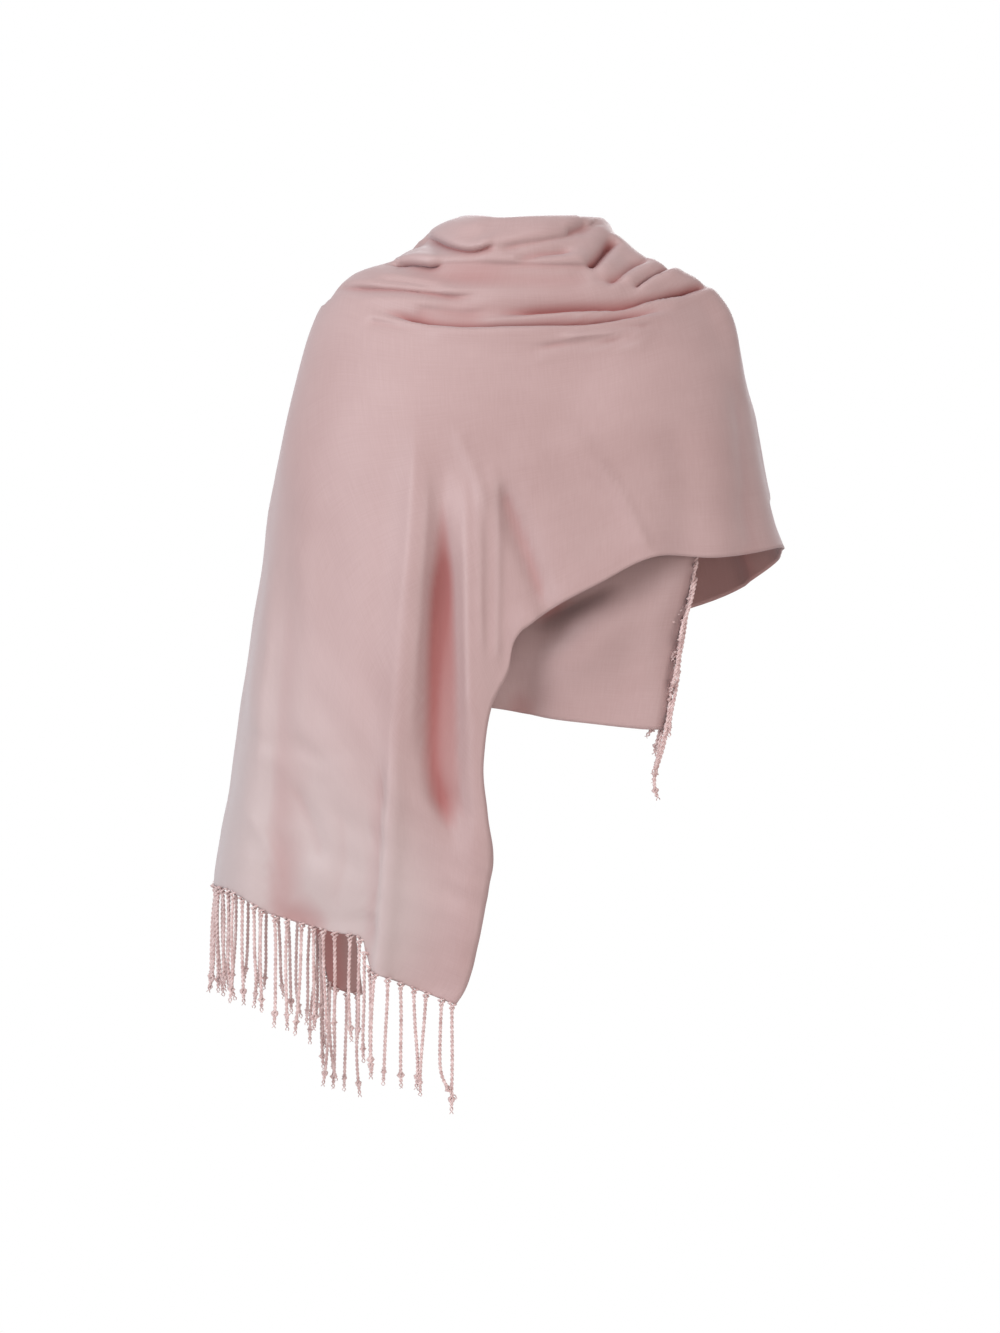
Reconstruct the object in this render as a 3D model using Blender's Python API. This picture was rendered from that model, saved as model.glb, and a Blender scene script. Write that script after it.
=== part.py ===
"""An evening stole: one long fringed cloth, wound once and a half round the shoulders of a general figure.

The inner end lies across the front, the cloth runs on round the arm and the back, crosses the chest again as a
cowl, and its outer end hangs over the other arm. +Z is up, the figure faces -Y, and the origin is the point
between the shoulders where the wearer carries the cloth. All sizes are in metres.
"""

import math
from collections import namedtuple

import bmesh
import bpy
import numpy as np
from mathutils import Vector

# ---- driving dimensions -------------------------------------------------------------------------------------
MILLIMETRE = 0.001
WALL = 0.0016
SEAM_GAP = 0.0005
CLOTH_WIDTH = 0.70
GATHER_ARC = 0.170
GATHER_SHARE = 0.30
GATHER_ROWS = 19
PLAIN_ROWS = 16
PLAIN_SPREAD = 1.35
ROW_SHIFT_SHARE = 0.35
EDGE = 0.9999
STRIP_DEPTH = 0.005
STRAND_PITCH = 0.0136
STRAND_LENGTH = 0.112
STRAND_WIDTH = 0.0024
KNOT_WIDTH = 0.0044
TUFT_WIDTH = 0.0030
STRAND_SWAY = 0.003
STRAND_UNEVEN = 0.05
SWAY_ACROSS_PACE = 2.4
SWAY_DEPTH_PACE = 1.7
LENGTH_PACE = 3.1
# How finely the winding is worked out: samples along a section, the step that slopes are taken over, and the
# turns and rings tried for a hem's place.
ARC_SAMPLES = 64
FRAME_STEP = 0.003
EDGE_SAMPLES = 400
HEM_ROUNDS = 40
HEM_RINGS = 400
HEM_TURNS = 721
HEM_REACH = 45
FIRST_HEM_RING = 3
RIM_TOLERANCE = 0.01
LEAST_ROW = 0.0005

# ---- the form that the cloth is wound on --------------------------------------------------------------------
# One row for each ring round the figure, from the tuck inside the collar down to the lowest hem. right and
# left are half widths, front and back half depths, and z_ columns the heights at the ring's four sides. square
# is the exponent of the ring's rounded outline.
Ring = namedtuple("Ring", "name right left front back z_front z_right z_left z_back square")

OVER_RINGS = (
    Ring("tuck", 0.064, 0.068, 0.052, 0.068, 0.018, 0.020, 0.046, 0.030, 2.0),
    Ring("lip", 0.083, 0.072, 0.076, 0.088, 0.045, 0.051, 0.052, 0.060, 2.0),
    Ring("roll", 0.101, 0.099, 0.093, 0.104, 0.024, 0.028, 0.035, 0.036, 2.1),
    Ring("collar", 0.124, 0.131, 0.104, 0.112, -0.004, 0.008, 0.013, 0.004, 2.2),
    Ring("yoke", 0.184, 0.189, 0.118, 0.124, -0.050, -0.014, -0.007, -0.046, 2.3),
    Ring("shoulder", 0.2205, 0.224, 0.134, 0.136, -0.112, -0.068, -0.062, -0.112, 2.4),
    Ring("bust", 0.2410, 0.254, 0.150, 0.138, -0.195, -0.176, -0.182, -0.195, 2.5),
    Ring("elbow", 0.2600, 0.268, 0.152, 0.136, -0.295, -0.264, -0.290, -0.290, 2.5),
    Ring("waist", 0.2860, 0.289, 0.152, 0.134, -0.430, -0.340, -0.430, -0.430, 2.5),
    Ring("hip", 0.2950, 0.308, 0.149, 0.133, -0.560, -0.470, -0.560, -0.560, 2.5),
    Ring("thigh", 0.3000, 0.325, 0.140, 0.131, -0.690, -0.600, -0.665, -0.690, 2.5),
    Ring("hem", 0.3000, 0.331, 0.130, 0.129, -0.800, -0.730, -0.760, -0.800, 2.5),
)
UNDER_RINGS = (
    Ring("tuck", 0.050, 0.057, 0.042, 0.060, 0.010, 0.012, 0.036, 0.024, 2.0),
    Ring("lip", 0.070, 0.061, 0.062, 0.076, 0.034, 0.040, 0.040, 0.050, 2.0),
    Ring("roll", 0.088, 0.086, 0.078, 0.090, 0.010, 0.014, 0.022, 0.024, 2.1),
    Ring("collar", 0.108, 0.117, 0.086, 0.098, -0.018, -0.006, 0.000, -0.008, 2.2),
    Ring("yoke", 0.168, 0.174, 0.098, 0.111, -0.064, -0.028, -0.021, -0.060, 2.3),
    Ring("shoulder", 0.204, 0.208, 0.107, 0.123, -0.122, -0.080, -0.075, -0.122, 2.4),
    Ring("bust", 0.224, 0.237, 0.112, 0.125, -0.200, -0.182, -0.190, -0.200, 2.5),
    Ring("elbow", 0.241, 0.250, 0.112, 0.122, -0.295, -0.268, -0.290, -0.290, 2.5),
    Ring("waist", 0.250, 0.262, 0.110, 0.120, -0.430, -0.350, -0.430, -0.430, 2.5),
    Ring("hip", 0.260, 0.275, 0.110, 0.120, -0.560, -0.470, -0.560, -0.560, 2.5),
    Ring("thigh", 0.265, 0.290, 0.110, 0.120, -0.690, -0.600, -0.665, -0.690, 2.5),
    Ring("hem", 0.270, 0.300, 0.110, 0.120, -0.800, -0.730, -0.760, -0.800, 2.5),
)

# ---- the cloth's sections -----------------------------------------------------------------------------------
# One row for each line across the cloth, from the inner end to the outer end. turn angles run on round the
# figure: 0 is the front, -90 the hanging side, -180 the back, -270 the other arm and -360 the front again.
# neck_ and mid_ columns give a turn and a ring. The hem columns give the hem's real place across and up, and
# the turn that it lies near, which is the hem's own turn where hem_x is None. layer is 1 on the under rings
# and 0 on the over rings, and bow lifts the line halfway to its neck and halfway to its hem.
Section = namedtuple(
    "Section", "name neck_turn neck_ring mid_turn mid_ring hem_turn hem_x hem_z layer bow", defaults=(0.0,)
)

SECTIONS = (
    Section("inner_end", 60, 3.6, 49, 6.2, 30, 0.1379, -0.4806, 1.0),
    Section("under_left", 34, 3.6, None, None, 15, 0.0748, -0.4754, 1.0),
    Section("under_mid", 8, 3.6, None, None, 5, 0.0243, -0.4694, 1.0),
    Section("under_right", -18, 3.6, None, None, -8, -0.0364, -0.4583, 1.0),
    Section("under_belly", -42, 3.0, None, None, -35, -0.1300, -0.4480, 1.0),
    Section("under_arm_front", -66, 1.6, None, None, -66, -0.2250, -0.4400, 1.0),
    Section("under_arm", -90, 0.4, None, None, -90, None, -0.4320, 1.0),
    Section("under_arm_back", -114, 0.0, None, None, -114, None, -0.4240, 1.0),
    Section("back_right", -140, 0.0, None, None, -140, None, -0.4140, 1.0),
    Section("back_mid_right", -160, 0.0, None, None, -160, None, -0.4030, 0.45),
    Section("back_mid", -182, 0.0, None, None, -182, None, -0.3880, 0.0),
    Section("back_left", -206, 0.0, None, None, -208, None, -0.3620, 0.0),
    Section("back_arm", -238, 0.0, None, None, -240, None, -0.3240, 0.0),
    Section("arm", -270, 0.0, None, None, -270, None, -0.2940, 0.0),
    Section("chest_arm", -294, 0.0, None, None, -300, 0.1983, -0.3056, 0.0),
    Section("chest_left", -316, 0.0, None, None, -330, 0.1299, -0.3060, 0.0),
    Section("chest_mid_left", -336, 0.0, None, None, -345, 0.0740, -0.3326, 0.0),
    Section("chest_mid", -358, 0.0, None, None, -358, 0.0238, -0.3598, 0.0),
    Section("chest_right", -382, 0.0, None, None, -365, -0.0112, -0.3898, 0.0),
    Section("turn_start", -406, 0.0, None, None, -365, -0.0182, -0.4218, 0.0),
    Section("turn_mid", -432, 0.3, None, None, -367, -0.0363, -0.4578, 0.0),
    Section("turn_end", -460, 1.3, -420, 4.6, -368, -0.0463, -0.5099, 0.0),
    Section("hang_yoke", -484, 2.8, -438, 5.4, -368, -0.0463, -0.5599, 0.0),
    Section("hang_arm", -497, 4.6, -446, 6.4, -368, -0.0413, -0.6001, 0.0),
    Section("hang_elbow", -503, 6.6, -450, 7.4, -368, -0.0443, -0.6403, 0.0),
    Section("hang_wrist", -506, 8.6, -450, 8.6, -370, -0.0544, -0.6909, 0.0),
    Section("outer_end", -513, 10.65, -450, 9.82, -378, -0.0716, -0.7553, 0.0, 0.16),
)

# The outer end's edge hangs in two steps, where the cloth laps over itself. One row for each place on the edge:
# the share of the cloth's width, and how much higher than its winding the edge lies there, in millimetres.
EdgeLift = namedtuple("EdgeLift", "across lift")
EDGE_LIFTS = (
    EdgeLift(0.0, -19),
    EdgeLift(0.0583, -34),
    EdgeLift(0.0875, -40),
    EdgeLift(0.13, 16),
    EdgeLift(0.1779, 4),
    EdgeLift(0.2257, 0),
    EdgeLift(0.5129, 0),
    EdgeLift(0.5607, -3),
    EdgeLift(0.6086, -9),
    EdgeLift(0.6564, -8),
    EdgeLift(0.7043, 0),
    EdgeLift(0.7521, 10),
    EdgeLift(0.80, 20),
    EdgeLift(0.8286, 28),
    EdgeLift(0.8429, 0),
    EdgeLift(1.0, 0),
)
LIFT_REACH = 0.20

# ---- folds --------------------------------------------------------------------------------------------------
# One row for each fold line, as seen from one side: start, middle and end as (across, up). rise is how far the
# cloth stands out along the line, negative for a trough, width its half width, lap how far the cloth above the
# line hangs over it, and fade which ends run out flat. span names the run of sections that the fold lies in.
# Places and sizes here are in millimetres.
Fold = namedtuple("Fold", "name span side x0 z0 x1 z1 x2 z2 rise width lap fade")
FOLD_SPANS = {
    "under": ("inner_end", "under_arm_back"),
    "wrap": ("back_right", "turn_mid"),
    "over": ("back_arm", "outer_end"),
    "hang": ("chest_mid", "outer_end"),
}

FOLD_ROWS = (
    Fold("cowl_upper", "over", "front", -98, 30, -26, -6, 80, 44, -10, 9, 2, "both"),
    Fold("cowl_lower", "over", "front", -134, 13, -20, -30, 104, 22, -12, 10, 3, "both"),
    Fold("cowl_roll", "over", "front", -84, 46, -10, 18, 92, 50, 5, 10, 0, "both"),
    Fold("cowl_swell", "over", "front", -118, 22, -20, -14, 100, 32, 4, 9, 0, "both"),
    Fold("neck_side", "over", "front", 150, 6, 128, -18, 96, -36, -10, 10, 2, "both"),
    Fold("yoke_upper", "over", "front", 150, -30, 40, -66, -100, -58, -7, 9, 2, "both"),
    Fold("yoke_lower", "over", "front", 160, -24, 20, -96, -158, -50, -9, 10, 3, "both"),
    Fold("yoke_right", "over", "front", -158, -18, -100, -42, -34, -44, -6, 9, 2, "both"),
    Fold("chest_soft", "over", "front", 20, -102, 60, -92, 110, -86, -3, 10, 0, "both"),
    Fold("channel", "hang", "front", -86, -170, -104, -440, -64, -700, -25, 21, 0, "both"),
    Fold("channel_bank", "hang", "front", -108, -230, -133, -440, -150, -700, 12, 22, 0, "start"),
    Fold("edge_swell", "hang", "front", -60, -250, -66, -480, -70, -760, 8, 19, 0, "start"),
    Fold("side_sway", "hang", "front", -205, -230, -215, -450, -235, -680, -8, 30, 0, "start"),
    Fold("swag", "over", "front", -6, -200, 6, -270, 30, -350, -10, 20, 0, "start"),
    Fold("swag_right", "over", "front", 60, -220, 66, -270, 80, -330, -6, 22, 0, "start"),
    Fold("hem_notch", "over", "front", 176, -220, 160, -260, 138, -312, -11, 26, 0, "start"),
    Fold("back_channel", "hang", "back", -210, -330, -222, -540, -214, -760, -18, 26, 0, "start"),
    Fold("back_bank", "hang", "back", -170, -180, -174, -450, -170, -770, 10, 24, 0, "start"),
    Fold("nape_upper", "wrap", "back", -90, 34, 0, 16, 104, 34, -9, 9, 3, "both"),
    Fold("nape_lower", "wrap", "back", -120, -6, 10, -46, 150, -4, -9, 10, 2, "both"),
    Fold("back_yoke", "wrap", "back", -60, -64, 60, -96, 176, -60, -7, 11, 0, "both"),
    Fold("back_sway_left", "wrap", "back", 140, -120, 120, -240, 110, -370, -10, 26, 0, "start"),
    Fold("back_sway_mid", "wrap", "back", 10, -140, 20, -260, 16, -400, 9, 28, 0, "start"),
    Fold("back_sway_right", "wrap", "back", -80, -140, -60, -260, -56, -410, -9, 24, 0, "start"),
    Fold("arm_sway_front", "over", "left", -70, -110, -78, -200, -74, -300, -7, 22, 0, "start"),
    Fold("arm_sway_back", "over", "left", 50, -120, 56, -210, 66, -310, -8, 24, 0, "start"),
    Fold("hang_front", "hang", "right", -60, -200, -66, -420, -80, -680, -8, 26, 0, "start"),
    Fold("hang_back", "hang", "right", 50, -180, 56, -420, 62, -700, -9, 28, 0, "start"),
    Fold("under_sag", "under", "front", 100, -330, 20, -410, -60, -380, 5, 26, 0, "both"),
)
# For each side: the axis that a fold's across values run along, and the sign of that side's facing axis. The
# wearer's left arm is on +X.
SIDES = {"front": (0, -1), "back": (0, 1), "left": (1, 1), "right": (1, -1)}
FADE_SHARE = 0.35
FOLD_PIECES = 12
FACING_DEPTH = 0.05

# ---- stretches of the cloth and its fringes ------------------------------------------------------------------
# One row for each stretch: the sections that it runs between, its share of the cloth's width, and the number
# of mesh columns along it.
Stretch = namedtuple("Stretch", "name first last across_from across_to columns")

STRETCHES = (
    Stretch("under_stretch", "inner_end", "under_arm_back", 0.0, 1.0, 12),
    Stretch("back_stretch", "under_arm_back", "back_arm", 0.0, 1.0, 17),
    Stretch("cowl", "back_arm", "turn_mid", 0.0, GATHER_SHARE, 39),
    Stretch("front_stretch", "back_arm", "turn_mid", GATHER_SHARE, 1.0, 39),
    Stretch("hanging_end", "turn_mid", "outer_end", 0.0, 1.0, 24),
)

# Runs of mesh rows across the hanging end, which add up to one less than the rows of the other stretches.
RowRun = namedtuple("RowRun", "start end rows")

HANGING_RUNS = (
    RowRun(0.0, 0.0875, 3),
    RowRun(0.0875, 0.13, 2),
    RowRun(0.13, 0.80, 14),
    RowRun(0.80, 1.0, 14),
)

# One row for each fringe: the end of the cloth that it hangs from, its share of the cloth's width, how far its
# strands stand off to each side in turn, and how far the first strand hangs from the corner.
Fringe = namedtuple("Fringe", "name end across_from across_to stand_off corner")

FRINGES = (
    Fringe("under_fringe", "inner_end", 0.0, 1.0, 0.005, 0.005),
    Fringe("hanging_fringe_back", "outer_end", 0.0, 0.43, 0.005, 0.007),
    Fringe("hanging_fringe_front", "outer_end", 0.43, 1.0, 0.003, 0.007),
)
# Levels down a strand: the share of its length, and its width there.
STRAND_LEVELS = ((0.80, STRAND_WIDTH), (0.84, KNOT_WIDTH), (0.88, STRAND_WIDTH), (1.0, TUFT_WIDTH))
TURN_LEVEL = 0.006
PINK = (0.62, 0.36, 0.35, 1.0)
FRINGE_PINK = (0.66, 0.44, 0.43, 1.0)


def smooth_path(stations, values, at):
    """Values read from a smooth curve through table rows, with each row's slope taken from its neighbours."""
    stations = np.asarray(stations, float)
    values = np.asarray(values, float)
    steps = np.diff(stations)
    rises = np.diff(values) / steps
    slopes = np.empty_like(values)
    slopes[0], slopes[-1] = rises[0], rises[-1]
    slopes[1:-1] = (rises[:-1] * steps[1:] + rises[1:] * steps[:-1]) / (steps[1:] + steps[:-1])
    at = np.clip(at, stations[0], stations[-1])
    i = np.clip(np.searchsorted(stations, at, side="right") - 1, 0, len(steps) - 1)
    h = steps[i]
    u = (at - stations[i]) / h
    return (
        values[i] * (1 + 2 * u) * (1 - u) ** 2
        + values[i + 1] * u * u * (3 - 2 * u)
        + slopes[i] * h * u * (1 - u) ** 2
        - slopes[i + 1] * h * u * u * (1 - u)
    )


def ring_value(rings, column, ring):
    """One column of a ring table at a ring that may lie between two rows."""
    values = [getattr(row, column) for row in rings]
    return smooth_path(range(len(rings)), values, ring)


def ring_point(rings, turn, ring):
    """Points on the figure at a turn and a ring."""
    angle = np.radians(turn)
    across, along = np.sin(angle), np.cos(angle)
    power = 2 / ring_value(rings, "square", ring)
    half = np.where(across > 0, ring_value(rings, "right", ring), ring_value(rings, "left", ring))
    depth = np.where(along > 0, ring_value(rings, "front", ring), ring_value(rings, "back", ring))
    side = across**2
    z_side = np.where(across > 0, ring_value(rings, "z_right", ring), ring_value(rings, "z_left", ring))
    z_end = np.where(along > 0, ring_value(rings, "z_front", ring), ring_value(rings, "z_back", ring))
    x = half * np.sign(across) * np.abs(across) ** power
    y = -depth * np.sign(along) * np.abs(along) ** power
    return np.stack([x, y, z_side * side + z_end * (1 - side)], axis=-1)


def figure_point(turn, ring, layer):
    """Points on the over rings at layer 0, on the under rings at layer 1, and between them in between."""
    layer = np.asarray(layer)[..., None]
    return ring_point(OVER_RINGS, turn, ring) * (1 - layer) + ring_point(UNDER_RINGS, turn, ring) * layer


def hem_place(section):
    """The turn and ring of a section's hem end, found from its real place on the figure."""
    turn = float(section.hem_turn)
    rings = np.linspace(FIRST_HEM_RING, len(OVER_RINGS) - 1, HEM_RINGS)
    turns = section.hem_turn + np.linspace(-HEM_REACH, HEM_REACH, HEM_TURNS)
    for _ in range(HEM_ROUNDS):
        heights = figure_point(np.full(HEM_RINGS, turn), rings, np.full(HEM_RINGS, section.layer))[:, 2]
        ring = float(np.interp(-section.hem_z, -heights, rings))
        if section.hem_x is None:
            break
        reach = figure_point(turns, np.full(HEM_TURNS, ring), np.full(HEM_TURNS, section.layer))[:, 0]
        turn = float(turns[np.argmin(np.abs(reach - section.hem_x))])
    return turn, ring


def section_controls():
    """Each section's neck, middle and hem as turns and rings, with its layer and bow, and the stations."""
    rows = []
    for section in SECTIONS:
        hem_turn, hem_ring = hem_place(section)
        mid_turn = (section.neck_turn + hem_turn) / 2 if section.mid_turn is None else section.mid_turn
        mid_ring = (section.neck_ring + hem_ring) / 2 if section.mid_ring is None else section.mid_ring
        turns = (section.neck_turn, mid_turn, hem_turn)
        rings = (section.neck_ring, mid_ring, hem_ring)
        rows.append(turns + rings + (section.layer, section.bow))
    controls = np.array(rows, float)
    ends = [figure_point(controls[:, i], controls[:, i + 3], controls[:, 6]) for i in range(3)]
    steps = np.mean([np.linalg.norm(np.diff(end, axis=0), axis=1) for end in ends], axis=0)
    return controls, np.concatenate([[0.0], np.cumsum(steps)])


CONTROLS, STATIONS = section_controls()
STATION = {section.name: station for section, station in zip(SECTIONS, STATIONS)}


def section_line(control, share):
    """Turn and ring along a section: a parabola through its neck, middle and hem."""
    near, mid, far = (1 - share) * (1 - 2 * share), 4 * share * (1 - share), share * (2 * share - 1)
    turn = control[..., 0] * near + control[..., 1] * mid + control[..., 2] * far
    ring = control[..., 3] * near + control[..., 4] * mid + control[..., 5] * far
    return turn, ring - control[..., 7] * np.sin(2 * math.pi * share) ** 2


def smooth_cloth(station, width):
    """Points of the unfolded winding at a station along the cloth and a share of its width."""
    control = np.stack([smooth_path(STATIONS, column, station) for column in CONTROLS.T], axis=-1)
    shares = np.linspace(0, 1, ARC_SAMPLES)
    turn, ring = section_line(control[:, None, :], shares[None, :])
    line = figure_point(turn, ring, np.broadcast_to(control[:, 6:7], turn.shape))
    steps = np.linalg.norm(np.diff(line, axis=1), axis=2)
    arc = np.concatenate([np.zeros((len(station), 1)), np.cumsum(steps, axis=1)], axis=1)
    gathered = GATHER_ARC * width / GATHER_SHARE
    plain = GATHER_ARC + (arc[:, -1] - GATHER_ARC) * (width - GATHER_SHARE) / (1 - GATHER_SHARE)
    wanted = np.where(width < GATHER_SHARE, gathered, plain)
    share = np.array([np.interp(w, a, shares) for w, a in zip(wanted, arc)])
    turn, ring = section_line(control, share)
    points = figure_point(turn, ring, control[:, 6])
    points[:, 2] += edge_lift(station, width)
    return points


def edge_lift(station, width):
    """How much higher than their winding points near the outer end lie, so that its edge hangs in steps."""
    lifts = np.interp(width, [row.across for row in EDGE_LIFTS], [row.lift for row in EDGE_LIFTS])
    share = np.clip((station - STATIONS[-1]) / LIFT_REACH + 1, 0, 1)
    return lifts * MILLIMETRE * share * share * (3 - 2 * share)


def in_metres(fold):
    """A row of the fold table with its millimetres made metres."""
    sizes = {name: value * MILLIMETRE for name, value in fold._asdict().items() if not isinstance(value, str)}
    return fold._replace(**sizes)


FOLDS = tuple(in_metres(fold) for fold in FOLD_ROWS)


def fold_line(fold):
    """A fold's line as short straight pieces: their starts and their runs, across and up."""
    v = np.linspace(0, 1, FOLD_PIECES + 1)
    across = (1 - v) ** 2 * fold.x0 + 2 * v * (1 - v) * fold.x1 + v * v * fold.x2
    up = (1 - v) ** 2 * fold.z0 + 2 * v * (1 - v) * fold.z1 + v * v * fold.z2
    line = np.stack([across, up], axis=-1)
    return line[:-1], np.diff(line, axis=0)


def from_line(flat, starts, runs):
    """For each flat point: how far it lies from a line, how far above it, and its place along it, 0 to 1."""
    away = flat[:, None, :] - starts
    share = np.clip((away * runs).sum(axis=2) / (runs * runs).sum(axis=1), 0, 1)
    miss = away - share[..., None] * runs
    gaps = np.linalg.norm(miss, axis=2)
    nearest = gaps.argmin(axis=1)
    rows = np.arange(len(flat))
    return gaps[rows, nearest], miss[rows, nearest, 1], (nearest + share[rows, nearest]) / len(runs)


def fold_shift(points, station):
    """How far each point stands out at the folds, and how far it drops where a fold laps over the next."""
    out = np.zeros(len(points))
    drop = np.zeros(len(points))
    for fold in FOLDS:
        axis, sign = SIDES[fold.side]
        gap, above, place = from_line(points[:, [axis, 2]], *fold_line(fold))
        facing = np.clip(sign * points[:, 1 - axis] / FACING_DEPTH, 0, 1)
        fade = np.clip(place / FADE_SHARE, 0, 1)
        if fold.fade == "both":
            fade *= np.clip((1 - place) / FADE_SHARE, 0, 1)
        fade = fade * fade * (3 - 2 * fade)
        first, last = FOLD_SPANS[fold.span]
        strength = facing * fade * (station >= STATION[first]) * (station <= STATION[last])
        out += fold.rise * strength * np.exp(-((gap / fold.width) ** 2))
        over_line = ((above - fold.width) / fold.width) ** 2 + (gap / fold.width / 2) ** 2
        drop += fold.lap * strength * np.exp(-over_line)
    return out, drop


def cloth_frame(function, station, width, step):
    """Unit directions along the cloth, across it and out of its face, from points a small step away."""
    along = function(station + step, width) - function(station - step, width)
    across = function(station, width + step) - function(station, width - step)
    along /= np.linalg.norm(along, axis=1, keepdims=True)
    across /= np.linalg.norm(across, axis=1, keepdims=True)
    normal = np.cross(along, across)
    return along, across, normal / np.linalg.norm(normal, axis=1, keepdims=True)


def folded_cloth(station, width):
    """Points of the cloth's outer face, folds included."""
    station = np.clip(station, STATIONS[0], STATIONS[-1])
    width = np.clip(width, 0.0, 1.0)
    points = smooth_cloth(station, width)
    normal = cloth_frame(lambda s, w: smooth_cloth(s, np.clip(w, 0.0, 1.0)), station, width, FRAME_STEP)[2]
    out, drop = fold_shift(points, station)
    return points + normal * out[:, None] - np.array([0.0, 0.0, 1.0]) * drop[:, None]


def wall_faces(station, width, shift_along, shift_across):
    """The outer and inner points of the cloth's wall, shifted in its own plane to leave the seams open."""
    along, across, normal = cloth_frame(folded_cloth, station, width, FRAME_STEP)
    off_row = np.cross(across, normal)
    off_column = np.cross(normal, along)
    outer = folded_cloth(station, width) + off_row * shift_along[:, None] + off_column * shift_across[:, None]
    return outer, outer - normal * WALL


def material(name, colour, roughness):
    """A plain finish for a sub-part."""
    made = bpy.data.materials.new(name)
    made.use_nodes = True
    shader = made.node_tree.nodes["Principled BSDF"]
    shader.inputs["Base Color"].default_value = colour
    shader.inputs["Roughness"].default_value = roughness
    return made


def new_object(name, mesh_builder, finish):
    """An object in the scene that holds a finished bmesh."""
    mesh = bpy.data.meshes.new(name)
    bmesh.ops.recalc_face_normals(mesh_builder, faces=mesh_builder.faces)
    mesh_builder.to_mesh(mesh)
    mesh_builder.free()
    mesh.materials.append(finish)
    made = bpy.data.objects.new(name, mesh)
    bpy.context.scene.collection.objects.link(made)
    return made


def flat_wall(columns, rows):
    """A flat closed slab of two skins, from -1 to 1 each way, whose lower skin lies at z -1."""
    slab = bmesh.new()
    bmesh.ops.create_grid(slab, x_segments=columns - 1, y_segments=rows - 1, size=1.0)
    lower = bmesh.ops.extrude_face_region(slab, geom=slab.faces[:], use_keep_orig=True)["geom"]
    for vert in (item for item in lower if isinstance(item, bmesh.types.BMVert)):
        vert.co.z = -1.0
    return slab


def spread(values):
    """A function that takes -1 to 1 onto a rising list of values, in equal steps."""
    places = np.linspace(-1, 1, len(values))
    return lambda flat: np.interp(flat, places, values)


def seam_shift(flat, at_start, at_end):
    """How far points at the ends of -1 to 1 move inwards, half a seam's gap at each end that is a seam."""
    starts = np.where(flat < -EDGE, SEAM_GAP / 2, 0.0) * at_start
    return starts - np.where(flat > EDGE, SEAM_GAP / 2, 0.0) * at_end


def drape(slab, stations, first_widths, last_widths, seams):
    """Moves a flat slab's points onto the cloth, from its widths at the first station to those at the last.

    seams tells which of the slab's first, last, low and high edges is a seam.
    """
    flat = np.array([vert.co for vert in slab.verts])
    share = np.clip((flat[:, 0] + 1) / 2 / ROW_SHIFT_SHARE, 0, 1)
    widths = spread(first_widths)(flat[:, 1]) * (1 - share) + spread(last_widths)(flat[:, 1]) * share
    first, last, low, high = seams
    shift_along = seam_shift(flat[:, 0], first, last)
    shift_across = seam_shift(flat[:, 1], low, high)
    outer, inner = wall_faces(spread(stations)(flat[:, 0]), widths, shift_along, shift_across)
    for vert, out_point, in_point, z in zip(slab.verts, outer, inner, flat[:, 2]):
        vert.co = out_point if z > -0.5 else in_point


def shared_rows():
    """Widths at which every stretch has a row, close together where the cloth is gathered at the neck."""
    gathered = np.linspace(0, GATHER_SHARE, GATHER_ROWS)
    plain = GATHER_SHARE + (1 - GATHER_SHARE) * np.linspace(0, 1, PLAIN_ROWS) ** PLAIN_SPREAD
    return np.concatenate([gathered, plain[1:]])


def hanging_rows():
    """As many widths, close together at the outer end's steps and round the deep fold near its edge."""
    runs = [np.linspace(run.start, run.end, run.rows, endpoint=False) for run in HANGING_RUNS]
    return np.concatenate([*runs, [HANGING_RUNS[-1].end]])


def make_stretch(stretch, finish):
    """One stretch of the cloth as a closed wall."""
    first = STATION[stretch.first] + (STRIP_DEPTH if stretch.first == "inner_end" else 0.0)
    last = STATION[stretch.last] - (STRIP_DEPTH if stretch.last == "outer_end" else 0.0)
    rows = shared_rows()
    rows = rows[(rows >= stretch.across_from) & (rows <= stretch.across_to)]
    slab = flat_wall(stretch.columns, len(rows))
    last_rows = hanging_rows() if stretch.last == "outer_end" else rows
    seams = (True, True, stretch.across_from > 0, stretch.across_to < 1)
    drape(slab, [first, last], rows, last_rows, seams)
    return new_object(stretch.name, slab, finish)


def drape_strip(strip, stations, rows, guide_rows, seams):
    """Moves a flat strip onto the cloth's end, on the straight runs between its neighbour's rows."""
    sides = np.repeat([-1.0, 1.0], len(guide_rows))
    widths = np.tile(guide_rows, 2)
    shift_along = seam_shift(sides, *seams)
    faces = wall_faces(spread(stations)(sides), widths, shift_along, np.zeros(len(sides)))
    runs = [face.reshape(2, len(guide_rows), 3) for face in faces]
    place = spread(rows)
    for vert in strip.verts:
        run = runs[0 if vert.co.z > -0.5 else 1][0 if vert.co.x < 0 else 1]
        width = place(vert.co.y)
        vert.co = [np.interp(width, guide_rows, run[:, axis]) for axis in range(3)]


def strand_rings(root, frame, number, stand_off):
    """Centres, side directions and widths of a strand's levels, from the cloth's edge to the tuft's end."""
    across, face, off = frame
    down = Vector((0, 0, -1))
    turned = off.rotation_difference(down)
    half_turned = off.rotation_difference((off + down).normalized())
    sway_across, sway_deep = math.sin(SWAY_ACROSS_PACE * number), math.sin(SWAY_DEPTH_PACE * number) / 2
    sway = Vector((sway_across, sway_deep, 0)) * STRAND_SWAY
    length = STRAND_LENGTH * (1 + STRAND_UNEVEN * math.sin(LENGTH_PACE * number))
    top = root + (off + down) * TURN_LEVEL + face * stand_off * (number % 3 - 1)
    rings = [(top, half_turned @ across, half_turned @ face, STRAND_WIDTH)]
    for share, width in STRAND_LEVELS:
        centre = top + down * length * share + sway * share
        rings.append((centre, turned @ across, turned @ face, width))
    return rings


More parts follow.
